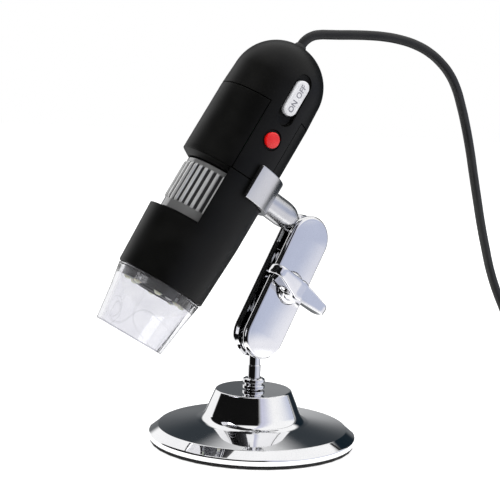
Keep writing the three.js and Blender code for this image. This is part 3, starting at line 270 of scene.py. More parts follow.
def paint_shade_and_reflections(made):
    """Paints shade and reflections into clear plastic's colour: painted shade makes it greyer where it is
    seen edge-on and at its tip, and thin grey lines are painted reflections.
    """
    tree, socket, colour = base_colour(made)
    place = put(tree, "TexCoord").outputs["Object"]
    # Painted reflections: thin grey lines where a slow noise passes its middle value
    slow = put(tree, "TexNoise", place, None, REFLECTION_LINE_SCALE, 0.0, 0.4).outputs[0]
    from_reflection_line = calc(tree, "ABSOLUTE", calc(tree, "SUBTRACT", slow, 0.5))
    colour = mixed(tree, ramp(tree, from_reflection_line, 0.0, REFLECTION_LINE_WIDTH, REFLECTION_LINE_SHARE, 0.0), colour, REFLECTION_LINE_TINT)
    # Painted shade: greyer where the surface is seen edge-on, drawing dark outlines
    edge = ramp(tree, put(tree, "LayerWeight", 0.5).outputs["Facing"], 0.72, 1.0)
    colour = mixed(tree, edge, colour, EDGE_ON_SHADE_TINT)
    # Painted shade: a greyer band at the cap's tip rim
    along = put(tree, "VectorMath", place, ALONG, operation="DOT_PRODUCT").outputs["Value"]
    tip = Vector(SCOPE.translation) @ Vector(ALONG) + CAP_TIP * MM
    rim = ramp(tree, along, tip + 0.2 * MM, tip + 0.6 * MM, 0.8, 0.0)
    colour = mixed(tree, rim, colour, TIP_RIM_SHADE_TINT)
    tree.links.new(colour, socket)


paint_shade_and_reflections(FINISHES["clear_plastic"])


def paint_groove_shade(made):
    """Paints shade into the ring's grooves: the ribs stay bright on their crowns and are darkened in their
    grooves, by distance to the axis.
    """
    tree, socket, colour = base_colour(made)
    place = put(tree, "TexCoord").outputs["Object"]
    offset = put(tree, "VectorMath", place, tuple(SCOPE.translation), operation="SUBTRACT").outputs["Vector"]
    square_on = put(tree, "VectorMath", offset, ALONG, operation="CROSS_PRODUCT").outputs["Vector"]
    reach = put(tree, "VectorMath", square_on, operation="LENGTH").outputs["Value"]
    # Painted shade: darker in the grooves, nearer the axis, and bright on the crowns
    groove = ramp(tree, reach, GROOVE_RADIUS * MM, CROWN_RADIUS * MM, 1.0, 0.0)
    tree.links.new(mixed(tree, groove, colour, GROOVE_SHADE_TINT), socket)


paint_groove_shade(FINISHES["ring_metal"])


# Mesh makers

# A turn in radians below which a corner is straight, and the most that a corner's arc and its held
# points take of a side, as shares of it
STRAIGHT, ARC_SHARE, HOLD_SHARE = 0.001, 0.48, 0.49
# Points closer together than the first are merged, and edges shorter than the second are dissolved
DOUBLES, SLIVERS = 0.0005, 0.0002


def rounded(corners, steps=5, ring=False, hold=0.05):
    """An outline through corners (a, b, radius). At each corner that turns, the arc of that radius
    that touches both sides takes its place, with a point held just before and after it."""
    found = []
    count = len(corners)
    for i, (a, b, radius) in enumerate(corners):
        point = np.array([a, b], float)
        if radius == 0 or (not ring and i in (0, count - 1)):
            found.append(point)
            continue
        before = np.array(corners[i - 1][:2], float) - point
        after = np.array(corners[(i + 1) % count][:2], float) - point
        reach = [np.linalg.norm(before), np.linalg.norm(after)]
        u, v = before / reach[0], after / reach[1]
        half = math.acos(np.clip(u @ v, -1, 1)) / 2
        if math.pi - 2 * half < STRAIGHT:
            found.append(point)
            continue
        trim = min(radius / math.tan(half), ARC_SHARE * min(reach))
        radius = trim * math.tan(half)
        middle = point + (u + v) / np.linalg.norm(u + v) * radius / math.sin(half)
        start, end = point + u * trim - middle, point + v * trim - middle
        sweep = math.pi - 2 * half
        share = np.linspace(0, 1, steps + 1)[:, None]
        arc = (np.sin((1 - share) * sweep) * start + np.sin(share * sweep) * end) / math.sin(sweep)
        if hold:
            found.append(point + u * min(trim + hold, HOLD_SHARE * reach[0]))
        found.extend(middle + arc)
        if hold:
            found.append(point + v * min(trim + hold, HOLD_SHARE * reach[1]))
    return np.array(found)


def mesh_of(name, points, faces):
    """A mesh from points and faces, with its doubles merged and its faces pointing outwards."""
    data = bpy.data.meshes.new(name)
    data.from_pydata(np.asarray(points, float).tolist(), [], faces)
    work = bmesh.new()
    work.from_mesh(data)
    bmesh.ops.remove_doubles(work, verts=work.verts, dist=DOUBLES)
    bmesh.ops.dissolve_degenerate(work, edges=work.edges, dist=SLIVERS)
    bmesh.ops.recalc_face_normals(work, faces=work.faces)
    work.to_mesh(data)
    work.free()
    return new_object(name, data)


def sheet_faces(rows, columns, ring_rows, ring_columns):
    """The quads of a grid, joined up at its ends where it is a ring."""
    index = np.arange(rows * columns).reshape(rows, columns)
    if ring_rows:
        index = np.vstack([index, index[:1]])
    if ring_columns:
        index = np.hstack([index, index[:, :1]])
    quads = np.stack([index[:-1, :-1], index[1:, :-1], index[1:, 1:], index[:-1, 1:]], -1)
    return quads.reshape(-1, 4).tolist()


def turned(name, outline, sides=128, ring=True):
    """An outline of (radius, height) turned round Z: x = r cos t, y = r sin t."""
    outline = np.asarray(outline, float)
    turn = np.linspace(0, 2 * np.pi, sides, endpoint=False)
    radius, height = outline[:, :1], outline[:, 1:2]
    points = np.stack([radius * np.cos(turn), radius * np.sin(turn), height + 0 * turn], -1)
    return mesh_of(name, points.reshape(-1, 3), sheet_faces(len(outline), sides, ring, True))


def lathed(name, corners, steps, sides, ring=True):
    """A turned piece, from the rounded corners (radius, height, rounding) of its outline."""
    return turned(name, rounded(corners, steps, ring), sides, ring)


def skinned(name, rows):
    """Closed sections of equally many points, joined up in order, with both ends closed."""
    count = len(rows[0])
    faces = sheet_faces(len(rows), count, False, True)
    faces.append(list(range(count)))
    faces.append(list(range((len(rows) - 1) * count, len(rows) * count)))
    return mesh_of(name, np.vstack(rows), faces)


def stacked(name, layers):
    """Closed outlines of (x, y) at heights, [(outline, z), ...], joined up as sections."""
    return skinned(name, [np.column_stack([outline, np.full(len(outline), z)]) for outline, z in layers])


def prism(name, outline, low, high):
    """A closed outline of (x, y) drawn straight up from one height to another."""
    return stacked(name, [(outline, low), (outline, high)])


def oval(length, width, inset=0.0, steps=24):
    """A long outline with half-round ends, drawn in all round by inset. Its length is along Y."""
    radius = width / 2 - inset
    run = (length - width) / 2
    turn = np.linspace(0, np.pi, steps + 1)
    arc = np.column_stack([radius * np.cos(turn), radius * np.sin(turn)])
    return np.vstack([arc + (0, run), -arc - (0, run)])


def bar(name, radius, start, end, sides=64):
    """A round bar between two points."""
    start, end = Vector(start), Vector(end)
    length = (end - start).length
    made = turned(name, [(0, 0), (radius, 0), (radius, length), (0, length)], sides, False)
    turn = (end - start).to_track_quat("Z", "Y").to_matrix().to_4x4()
    made.data.transform(Matrix.Translation(start) @ turn)
    return made


def block(name, low, high):
    """A box between two corners."""
    low, high = np.array(low, float), np.array(high, float)
    outline = np.array([(low[0], low[1]), (high[0], low[1]), (high[0], high[1]), (low[0], high[1])])
    return prism(name, outline, low[2], high[2])


def pie(name, angles, low, high, reach=40.0):
    """A pie-shaped block about Z between two angles in degrees."""
    turn = np.radians(np.linspace(*angles, 25))
    outline = np.vstack([[(0, 0)], np.column_stack([reach * np.cos(turn), reach * np.sin(turn)])])
    return prism(name, outline, low, high)


def points_of(made):
    found = np.empty(3 * len(made.data.vertices))
    made.data.vertices.foreach_get("co", found)
    return found.reshape(-1, 3)


def move_points(made, points):
    made.data.vertices.foreach_set("co", points.ravel())
    made.data.update()


def settle(made):
    """Makes the result of a piece's modifiers its own mesh."""
    data = evaluated(made)
    made.modifiers.clear()
    made.data = data
    return made


def join(made, others, how):
    """Combines a piece with others, one after the other, and removes them."""
    for other in others:
        step = made.modifiers.new("shape", "BOOLEAN")
        step.operation, step.solver, step.object = how, "EXACT", other
        settle(made)
        bpy.data.objects.remove(other)
    return made


def cut(made, *others):
    return join(made, others, "DIFFERENCE")


def kept_inside(made, limit):
    return join(made, [limit], "INTERSECT")


def added(made, *others):
    return join(made, others, "UNION")


def tidied(made, dist=0.002):
    """Merges the near-double points and removes the slivers that cuts leave."""
    work = bmesh.new()
    work.from_mesh(made.data)
    bmesh.ops.remove_doubles(work, verts=work.verts, dist=dist)
    bmesh.ops.dissolve_degenerate(work, edges=work.edges, dist=dist / 2)
    work.to_mesh(made.data)
    work.free()
    return made


def dress(made, where, body, slot, *nodes, crease=32):
    """Puts a piece in its place, gives it its finish and its body, and hides what it replaces."""
    made.data.transform(where)
    made.data.materials.clear()
    made.data.materials.append(FINISHES[slot])
    made.data.polygons.foreach_set("use_smooth", [True] * len(made.data.polygons))
    made.data.set_sharp_from_angle(angle=math.radians(crease))
    made.data.update()
    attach(made, body)
    if nodes:
        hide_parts(*nodes)
    return made


# Cord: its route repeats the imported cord's points

CORD_DIAMETER = 3.3
CORD_ROUTE = np.array([
    (9.943, 0.96, 134.046), (10.718, 1.319, 135.458), (11.493, 1.678, 136.87), (13.15, 2.34, 138.96),
    (15.39, 3.07, 140.38), (17.98, 3.79, 140.96), (21, 4.6, 141.1), (24.6, 5.5, 141.2),
    (29.2, 6.7, 141.4), (34.8, 8.2, 141.5), (40.5, 9.9, 141.3), (45.9, 11.8, 140.6),
    (51.3, 13.6, 139.2), (56.5, 15.4, 136.8), (60.9, 17.1, 133.5), (64.6, 19, 129.5),
    (67.5, 21.1, 124.7), (69.9, 23.4, 118.8), (72.3, 25.9, 111.7), (74.8, 28.8, 103.1),
    (77.2, 32.1, 93.7), (79.7, 35.4, 84.1), (82.1, 38.6, 75.1), (84.8, 41.8, 66.1),
    (87.6, 44.6, 57.3), (91, 46.7, 48.8), (94.6, 47.7, 41), (97.6, 48, 33.8),
    (100.1, 47.8, 27.6), (102.4, 47.4, 22.6), (105.1, 46.9, 18.5), (108.5, 46.3, 15.5),
    (112.3, 45.7, 13.8), (116.387, 45.043, 13.25), (118.016, 44.781, 13.25),
    (119.646, 44.52, 13.25)])
COIL_LOOPS = 8 + 110 / 360
COIL_LAYERS = 4
COIL_STEPS = 24
COIL_RADIUS = 18
COIL_PITCH = 3.9
COIL_RISE = 3.85
COIL_CENTRE = (123.2, 21.9)
COIL_START = 90
COIL_FLOOR = 0.05
TAIL_ROUTE = np.array([(0.3, 0, 0), (4, 0, 0), (8, 0, 0.5), (12, 0, 1.5), (16, 0, 2.15), (20, 0, 2.15)])


def coil_route():
    """The coil's centre line: x = centre + r cos a, y = centre + r sin a. The radius r swings in or
    out at a steady rate once each layer, and z sinks by one layer in the half turn between two."""
    turns = np.linspace(0, COIL_LOOPS, round(COIL_LOOPS * COIL_STEPS) + 1)
    layer_turns = COIL_LOOPS / COIL_LAYERS
    phase = turns / layer_turns
    layer = np.minimum(np.floor(phase), COIL_LAYERS - 1)
    swing = np.where(layer % 2 == 0, 1 - 2 * (phase - layer), 2 * (phase - layer) - 1)
    radius = COIL_RADIUS + COIL_PITCH * layer_turns / 2 * swing
    share = np.clip((turns - np.arange(1, COIL_LAYERS)[:, None] * layer_turns) * 2 + 0.5, 0, 1)
    fallen = (share ** 2 * (3 - 2 * share)).sum(0)
    angle = math.radians(COIL_START) - turns * 2 * np.pi
    x, y = COIL_CENTRE[0] + radius * np.cos(angle), COIL_CENTRE[1] + radius * np.sin(angle)
    floor = COIL_FLOOR + CORD_DIAMETER / 2
    return np.column_stack([x, y, floor + COIL_RISE * (COIL_LAYERS - 1 - fallen)])


def lead(end, before):
    """The point that lies one cord diameter straight on from a route's end."""
    step = end - before
    return end + step / np.linalg.norm(step) * CORD_DIAMETER


def cord_curve(name, points, body):
    """A cord: one open Bezier spline through points, with a round section and closed ends."""
    data = bpy.data.curves.new(name, "CURVE")
    data.dimensions, data.resolution_u, data.use_fill_caps = "3D", 6, True
    data.bevel_depth, data.bevel_resolution = CORD_DIAMETER / 2 * MM, 6
    spline = data.splines.new("BEZIER")
    spline.bezier_points.add(len(points) - 1)
    for knot, point in zip(spline.bezier_points, points * MM):
        knot.co = point
        knot.handle_left_type = knot.handle_right_type = "AUTO"
    made = new_object(name, data)
    data.materials.append(FINISHES["black_rubber"])
    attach(made, body)
    return made


def curve_length(made):
    """Length of a curve's line, from its evaluated points."""
    plain = made.data.copy()
    plain.bevel_depth = 0
    probe = new_object("probe", plain)
    line = evaluated(probe)
    points = np.array([v.co for v in line.vertices])
    bpy.data.objects.remove(probe)
    bpy.data.meshes.remove(line)
    return float(np.linalg.norm(np.diff(points, axis=0), axis=1).sum())


# Plug: its length runs along X from the cord's end

PLUG_BODY = (24, 14, 7.6)
PLUG_SHELL = (12, 12, 4.5)
PLUG_STEEL = 0.4
PLUG_SQUARENESS = 0.42
SHELL_START = PLUG_BODY[0] + CLEARANCE
SHELL_END = SHELL_START + PLUG_SHELL[0]
# Place along the body, then the shares of its width and height that the section there has
PLUG_SECTIONS = (
    (0, 0.36, 0.62), (0.25, 0.44, 0.68), (1, 0.52, 0.74), (2, 0.62, 0.82), (3.5, 0.78, 0.92),
    (5, 0.92, 1), (5.4, 0.87, 0.93), (6.2, 0.87, 0.93), (6.6, 0.94, 1), (7.4, 0.94, 1),
    (7.8, 0.88, 0.93), (8.6, 0.88, 0.93), (9, 0.96, 1), (9.8, 0.96, 1), (10.2, 0.9, 0.94),
    (12, 1, 1), (18, 1, 1), (22.8, 1, 1), (23.7, 0.98, 0.98), (24, 0.92, 0.9))


def plug_moulding():
    """The moulded body. A section is a squared oval, y = w sign(c) |c|^k and z = h sign(s) |s|^k, with
    c and s the cosine and sine. The narrow sections are its grip grooves and its taper to the cord."""
    sides = 64
    turn = np.linspace(0, 2 * np.pi, sides, endpoint=False)
    c, s = np.cos(turn), np.sin(turn)
    across = np.sign(c) * np.abs(c) ** PLUG_SQUARENESS / 2
    upward = np.sign(s) * np.abs(s) ** PLUG_SQUARENESS / 2
    _, width, height = PLUG_BODY
    return skinned("plug_moulding", [
        np.column_stack([np.full(sides, place), across * width * wide, upward * height * tall])
        for place, wide, tall in PLUG_SECTIONS])


def plug_sleeve():
    """The plug's folded steel shell: a box that is open at its mouth, with four spring windows."""
    y, z, chamfer, past_mouth = PLUG_SHELL[1] / 2, PLUG_SHELL[2] / 2, 0.2, 2
    outline = rounded([(SHELL_START, -y, 0.3), (SHELL_END, -y, 0.1), (SHELL_END, y, 0.1),
                       (SHELL_START, y, 0.3)], 4, True, 0)
    middle = outline.mean(0)
    inset = (outline - middle) * (1 - chamfer / np.abs(outline - middle).max(0)) + middle
    shell = stacked("plug_sleeve", [(inset, -z), (outline, -z + chamfer), (outline, z - chamfer), (inset, z)])
    first, last = SHELL_START + 5.2, SHELL_START + 7.4
    off_centre, half_width, depth = 2.6, 1.1, 0.6
    windows = [block("window", (first, side * off_centre - half_width, level - depth),
                     (last, side * off_centre + half_width, level + depth))
               for side in (-1, 1) for level in (-z, z)]
    mouth = block("mouth", (SHELL_START + PLUG_STEEL, -y + PLUG_STEEL, -z + PLUG_STEEL),
                  (SHELL_END + past_mouth, y - PLUG_STEEL, z - PLUG_STEEL))
    return cut(shell, mouth, *windows)


def plug_tongue():
    """The tongue in the plug's shell, with its four contact strips."""
    inside = PLUG_SHELL[1] / 2 - PLUG_STEEL
    top = PLUG_SHELL[2] / 2 - PLUG_STEEL - CLEARANCE
    thick, strip_low, strip_high, half_strip = 1.8, 1.9, 1.74, 0.5
    first, last = SHELL_START + 2, SHELL_END - 1.4
    strips = [block("contact", (first, place - half_strip, top - strip_low),
                    (last, place + half_strip, top - strip_high))
              for place in (-3.5, -1.1, 1.1, 3.5)]
    tongue = block("plug_tongue", (SHELL_START + PLUG_STEEL + CLEARANCE, -inside + CLEARANCE, top - thick),
                   (SHELL_END - PLUG_STEEL, inside - CLEARANCE, top))
    return added(tongue, *strips)


def add_cord():
    """The free stretch on the microscope, and the coil, last stretch and plug that lie on the table."""
    free = cord_curve("usb_cord", CORD_ROUTE, "microscope")
    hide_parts("usb_cable")
    curve_length(free)
    coil = coil_route()
    last = lead(coil[-1], coil[-2])
    heading = math.atan2(*(last - coil[-1])[1::-1])
    c, s = math.cos(heading), math.sin(heading)
    turn = np.array([(c, -s, 0), (s, c, 0), (0, 0, 1)])
    tail = TAIL_ROUTE @ turn.T + last
    route = np.vstack([CORD_ROUTE[-1:], coil, last[None], tail[1:]])
    end = tail[-1] + turn @ (CLEARANCE, 0, 0)
    end[2] = COIL_FLOOR + PLUG_BODY[2] / 2
    where = placement(end, turn[:, 0], turn[:, 1], turn[:, 2])
    pieces = [dress(plug_moulding(), where, "base", "black_plastic", "usb_plug_body"),
              dress(plug_sleeve(), where, "base", "steel", "usb_plug_shell"),
              dress(plug_tongue(), where, "base", "white_plastic", "usb_plug_tongue")]
    wound = cord_curve("usb_cord_coil", route, "base")
    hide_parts("usb_cable_coil", "usb_cable_tail")
    for made in (wound, *pieces):
        made.visible_glossy = False
    curve_length(wound)


# Stand: radii and heights above the table

DISH_RADIUS, HUB_RADIUS = 36, 13.1
HUB_TOP, COLLAR_FOOT = 18.4, 18.7
STEM_BORE = 2.5
BALL_RADIUS, NECK_RADIUS = 3.9, 2.0
LOWER_BALL = 35.2


def chrome_dish():
    """The dished base with its hub, hollow from below: outside from foot to hub, then inside back."""
    return lathed("chrome_dish", [
        (34.4, 1.1, 0.2), (DISH_RADIUS, 1.1, 0.6), (DISH_RADIUS, 3.1, 0.8), (32.7, 5.55, 0.9),
        (17.35, 8.2, 4.6), (HUB_RADIUS, HUB_TOP, 0.7), (STEM_BORE, HUB_TOP, 0.15), (STEM_BORE, 16.8, 0),
        (10.8, 16.8, 0.5), (14.6, 9, 2), (18, 6.3, 2), (30.7, 3.6, 0.5), (34.4, 1.7, 0.3)], 8, 192)


def chrome_collar():
    """The turned collar round the stem: two rings with a groove between them."""
    ring, groove = 3.85, 3.15
    return lathed("chrome_collar", [
        (3.3, COLLAR_FOOT, 0.1), (ring, 18.75, 0.3), (ring, 19.95, 0.4), (groove, 20.25, 0.2),
        (groove, 20.6, 0.2), (ring, 20.95, 0.4), (ring, 22.1, 0.5), (3.1, 22.5, 0.2), (2.55, 22.5, 0.1),
        (STEM_BORE, COLLAR_FOOT, 0)], 6, 96)


def ball_arc(radius, height, start, steps=28):
    """Points (radius sin t, height - radius cos t) from the angle start to the far pole."""
    turn = np.linspace(start, np.pi, steps)
    arc = np.column_stack([radius * np.sin(turn), height - radius * np.cos(turn)])
    arc[-1, 0] = 0
    return arc


def ball_stud(name, shank, height):
    """A shank whose outline runs on into the ball at its end."""
    ball = ball_arc(BALL_RADIUS, height, math.asin(NECK_RADIUS / BALL_RADIUS))
    outline = rounded(shank + [tuple(ball[0]) + (0,)], 4)
    return turned(name, np.vstack([outline, ball[1:]]), 96, False)


def add_stand():
    dress(chrome_dish(), STAND, "base", "chrome", "base_dish")
    dress(chrome_collar(), STAND, "lower_stud", "chrome", "stem_collar")
    shank = [(0, 11.6, 0), (1.9, 11.6, 0.3), (1.9, COLLAR_FOOT, 0), (2.2, COLLAR_FOOT, 0),
             (2.2, 26.8, 0.15), (NECK_RADIUS, 27.1, 0.15)]
    dress(ball_stud("chrome_stem", shank, LOWER_BALL), STAND, "lower_stud", "chrome", "lower_ball_stud")


# Arm: its length runs along Y between the two balls, and Z points out of its front shell

HALF_WIDTH, OVERHANG, SPACING = 8.4, 5.5, 43
ARM_LENGTH, ARM_WIDTH = SPACING + 2 * OVERHANG, 2 * HALF_WIDTH
RIM, FACE, FILLET, BOW = 1.15, 5.15, 1.3, 0.12
SHELL_WALL = 1.1
SOCKET_RADIUS, SLOT_RADIUS = 4.3, 2.3
POST_RADIUS, BOLT_HOLE = HALF_WIDTH - 2.2, 2.8
NUT_FLATS, NUT_DEPTH = 8.6, 2.6
SEAT_RADIUS, SEAT_DEPTH = 5.9, 1
# Each stud's place along the arm, its direction at rest in degrees, and how far it swings each way
STUDS = ((-SPACING / 2, 29.3 - 90, 14, 29), (SPACING / 2, 180 - 1.24, 24, 12))


def shell_outside(name, side):
    """One shell's outside: a long oval drawn in along a quarter circle to a softly crowned face. Its
    wall leans in towards the gap. Heights above its rim sink by the share b (2y/L)^2 towards its ends."""
    def ring(inset, height):
        return oval(ARM_LENGTH, ARM_WIDTH, inset, 40), height

    crown = 0.75 if side > 0 else 0.25
    shoulder = FACE - crown
    layers = [ring(inset, RIM + height)
              for inset, height in ((0.42, 0), (0.38, 0.1), (0.04, 1.1), (0, 1.25), (0, 1.4))]
    for angle in np.linspace(0, math.pi / 2, 11):
        layers.append(ring(FILLET * (1 - math.cos(angle)), shoulder - FILLET + FILLET * math.sin(angle)))
    for share in (0.04, 0.12, 0.24, 0.36, 0.48, 0.6, 0.72, 0.84, 0.94):
        rise = crown * (1 - (1 - share) ** 2)
        layers.append(ring(FILLET + (HALF_WIDTH - FILLET) * share, shoulder + rise))
    shell = stacked(name, [(outline, side * z) for outline, z in layers])
    points = points_of(shell)
    drop = (np.abs(points[:, 2]) - RIM) * BOW * (points[:, 1] / (ARM_LENGTH / 2)) ** 2
    points[:, 2] -= side * np.clip(drop, 0, None)
    move_points(shell, points)
    return shell


def shell_pocket(side):
    """The room inside a shell, between its ball sockets and round its middle post."""
    low, high = sorted((side * -20.0, side * (FACE - SHELL_WALL)))
    around_ball = BALL_RADIUS + 3.2
    outline = oval(SPACING - 2 * around_ball, 2 * (HALF_WIDTH - SHELL_WALL))
    room = prism("room", outline, low, high)
    return cut(room, bar("post", POST_RADIUS, (0, 0, -22), (0, 0, 22), 96))


def stud_room(place, angle, back, ahead):
    """What a ball and its stud take up in a shell: the socket and the slot that the stud swings in."""
    low, high = angle - back, angle + ahead
    reach = HALF_WIDTH + OVERHANG
    socket = turned("ball", ball_arc(SOCKET_RADIUS, 0, 0, 33), 64, False)
    slab = pie("slab", (low, high), -SLOT_RADIUS, SLOT_RADIUS, reach)
    for made in (socket, slab):
        made.data.transform(Matrix.Translation((0, place, 0)))
    ends = []
    for end in (math.radians(low), math.radians(high)):
        far = (reach * math.cos(end), place + reach * math.sin(end), 0)
        ends.append(bar("end", SLOT_RADIUS, (0, place, 0), far))
    return [socket, slab, *ends]


def shell_half(name, side):
    """Half of the clamp arm, with the bolt's seat in the front one and the nut's room in the rear."""
    shell = shell_outside(name, side)
    cut(shell, shell_pocket(side), bar("hole", BOLT_HOLE, (0, 0, -12), (0, 0, 12)))
    for stud in STUDS:
        cut(shell, *stud_room(*stud))
    if side > 0:
        seat, above = FACE - SEAT_DEPTH, FACE + 3
        dimple = [(0, seat, 0), (SEAT_RADIUS, seat, 0.3), (6.3, above, 0), (0, above, 0)]
        cut(shell, lathed("dimple", dimple, 4, 96, False))
    else:
        angles = np.arange(6) * np.pi / 3
        hexagon = NUT_FLATS / math.sqrt(3) * np.column_stack([np.cos(angles), np.sin(angles)])
        cut(shell, prism("nut room", hexagon, -12, -FACE + NUT_DEPTH))
    return tidied(shell)


# Wing bolt: Z points out of the arm, and its wings lie across

BOLT_SEAT = FACE - SEAT_DEPTH + CLEARANCE
BOLT_END, BOLT_RADIUS, BOLT_HUB = -6.05, 2.5, 6.9
WING_FOOT = BOLT_SEAT + 1.2
WING_REACH, WING_HEIGHT, WING_CORNER = 13.9, 7.1, 3.2
WING_TURN = -8.5
# Distance from the wings' middle plane, and how far their outline is drawn in there
WING_EDGE = ((1.8, 0.75), (1.7, 0.4), (1.45, 0.15), (1.0, 0))


def bolt_hub():
    """The bolt's shank, flange and tapered hub."""
    seat, top = BOLT_SEAT, BOLT_SEAT + BOLT_HUB
    return lathed("wing_bolt_casting", [
        (0, BOLT_END, 0), (BOLT_RADIUS, BOLT_END, 0.4), (BOLT_RADIUS, seat, 0), (5.6, seat, 0.25),
        (5.6, seat + 1.2, 0.4), (4.3, seat + 1.9, 0.8), (3.7, top, 1.3), (0, top, 0)], 6, 96, False)


def wing_outline():
    """Half of the wings' outline from four curves, each a quadratic (1-t)^2 a + 2t(1-t) b + t^2 c,
    and its mirror image."""
    share = np.linspace(0, 1, 9)[:, None]

    def bend(a, b, c):
        a, b, c = np.array(a), np.array(b), np.array(c)
        return ((1 - share) ** 2 * a + 2 * share * (1 - share) * b + share ** 2 * c)[:-1]

    foot, tip, top = WING_FOOT, WING_REACH, WING_FOOT + WING_HEIGHT
    corner = foot + WING_CORNER
    foot_end, root, saddle = tip - 3.6, 5, foot + 5.4
    right = np.vstack([
        bend((0, foot), (root, foot), (foot_end, foot)),
        bend((foot_end, foot), (tip, foot), (tip, corner)),
        bend((tip, corner), (tip, top), (tip - WING_CORNER, top)),
        bend((tip - WING_CORNER, top), (root, foot + 6.4), (0, saddle))])
    return np.vstack([right, (right * (-1, 1))[::-1][:-1]])


def bolt_wings():
    """The cross bar: its outline is drawn in at its edges, and its thickness is multiplied by
    1 + a exp(-(x/w)^2), so that it swells round the hub."""
    swell, swell_width = 0.9, 6.5
    outline = wing_outline()
    middle = np.array([0, WING_FOOT + WING_CORNER])
    away = outline - middle
    length = np.maximum(np.linalg.norm(away, axis=1), 1)
    edges = [(-y, draw) for y, draw in WING_EDGE] + list(WING_EDGE[::-1])
    wings = stacked("wings", [(middle + away * (1 - draw / length)[:, None], y) for y, draw in edges])
    points = points_of(wings)
    points[:, 2] *= 1 + swell * np.exp(-(points[:, 0] / swell_width) ** 2)
    move_points(wings, points)
    upright = Matrix.Rotation(math.radians(90), 4, "X")
    wings.data.transform(Matrix.Rotation(math.radians(WING_TURN), 4, "Z") @ upright)
    return wings


def wing_bolt():
    """The wing bolt: a turned hub and its wings, melted together as one casting."""
    bolt = added(bolt_hub(), bolt_wings())
    melt = bolt.modifiers.new("melt", "REMESH")
    melt.mode, melt.voxel_size = "VOXEL", 0.17
    smooth = bolt.modifiers.new("smooth", "SMOOTH")
    smooth.factor, smooth.iterations = 0.6, 16
    return settle(bolt)


def add_arm():
    dress(shell_half("rear_shell", -1), ARM, "arm", "chrome", "arm_rear_shell")
    dress(shell_half("front_shell", 1), ARM, "front_shell", "chrome", "arm_front_shell")
    dress(wing_bolt(), ARM, "wing_bolt", "chrome", "wing_bolt", crease=70)


# Clip: X points out to the arm, and the band lies round Z, the housing's axis

HOUSING_RADIUS = 16.5
BAND_BORE, BAND_FACE, BAND_HALF = HOUSING_RADIUS + CLEARANCE, HOUSING_RADIUS + 2.2, 5.95
# Angle from the middle in degrees near the band's end, and how far its section is drawn in there
BAND_ENDS = ((93, 0.5), (92.6, 0.15), (92, 0))
BOSS_RADIUS, BOSS_MOUTH, BOSS_BORE, BOSS_END = 4.7, 3.0, 1.8, 33.2
UPPER_BALL = 42
# Lays a piece that was turned round Z along X
OUTWARDS = Matrix.Rotation(math.pi / 2, 4, "Y")


def clip_strap():
    """The band: a rounded section carried round an arc, x = r cos a, y = r sin a, with softened ends."""
    corners = [(r, z, 0.35) for r, z in ((BAND_BORE, -BAND_HALF), (BAND_FACE, -BAND_HALF),
                                         (BAND_FACE, BAND_HALF), (BAND_BORE, BAND_HALF))]
    section = rounded(corners, 4, True)
    middle = section.mean(0)
    sweep = [(-angle, draw) for angle, draw in BAND_ENDS]
    sweep += [(angle, 0) for angle in np.linspace(-91.5, 91.5, 93)]
    sweep += BAND_ENDS[::-1]
    rows = []
    for angle, draw in sweep:
        a = math.radians(angle)
        away = section - middle
        away = away - np.sign(away) * draw
        r, z = (middle + away).T
        rows.append(np.column_stack([r * math.cos(a), r * math.sin(a), z]))
    return skinned("clip_strap", rows)


def clip_socket():
    """The boss that the upper stud turns in. Its end narrows along a quarter oval, r = m + d cos t and
    z = level + h sin t, before it is laid outwards."""
    turn = np.linspace(0, np.pi / 2, 14)
    shoulder, floor = BAND_FACE + 9, 26.4
    dome = np.column_stack([BOSS_MOUTH + (BOSS_RADIUS - BOSS_MOUTH) * np.cos(turn),
                            shoulder + (BOSS_END - shoulder) * np.sin(turn)])
    mouth = rounded([(BOSS_MOUTH, BOSS_END, 0), (BOSS_BORE, BOSS_END, 0.2), (BOSS_BORE, floor, 0),
                     (0, floor, 0)], 3)
    boss = turned("clip_socket", np.vstack([[(0, 10), (BOSS_RADIUS, 10)], dome, mouth[1:]]), 96, False)
    boss.data.transform(OUTWARDS)
    return cut(boss, bar("saddle", BAND_FACE + 0.02, (0, 0, -30), (0, 0, 30), 192))


def add_clip():
    dress(clip_strap(), CLIP, "clip", "satin_clip", "clip_band")
    dress(clip_socket(), CLIP, "clip", "satin_clip", "clip_boss")
    shaft = [(0, 26.7, 0), (1.5, 26.7, 0.2), (1.5, 33.5, 0), (NECK_RADIUS, 33.5, 0.15)]
    stud = ball_stud("upper_stud_turned", shaft, UPPER_BALL)
    stud.data.transform(OUTWARDS)
    dress(stud, CLIP, "upper_stud", "chrome", "upper_ball_stud")


# Housing: heights along its axis from the collar's lower edge, and angles round it in degrees

SLEEVE_BORE, SPIGOT, SPIGOT_BORE, TOP_RADIUS = 14.7, 14.4, 12.9, 16.4
SEAM, DOME_SEAM, SEAM_GAP = 43, 68.4, 0.15
DOME_CENTRE, DOME_RADIUS, DOME_BORE = 76.5, 16.0, 14.2
WINDOW_FOOT, WINDOW, TONGUE = 21.7, (93, 239), (-119.8, -69.7)
BUTTON, SWITCH = 57.7, 73.7
RECESS, RECESS_LENGTH, RECESS_WIDTH, RECESS_WALL = 73.05, 18.8, 6.2, 3.2
# How far the recess is drawn in, at distances from the housing's axis
RECESS_LAYERS = ((0.6, 14.2), (0.2, 14.35), (0.05, 14.7), (0, 15.2), (-0.9, 18.5))


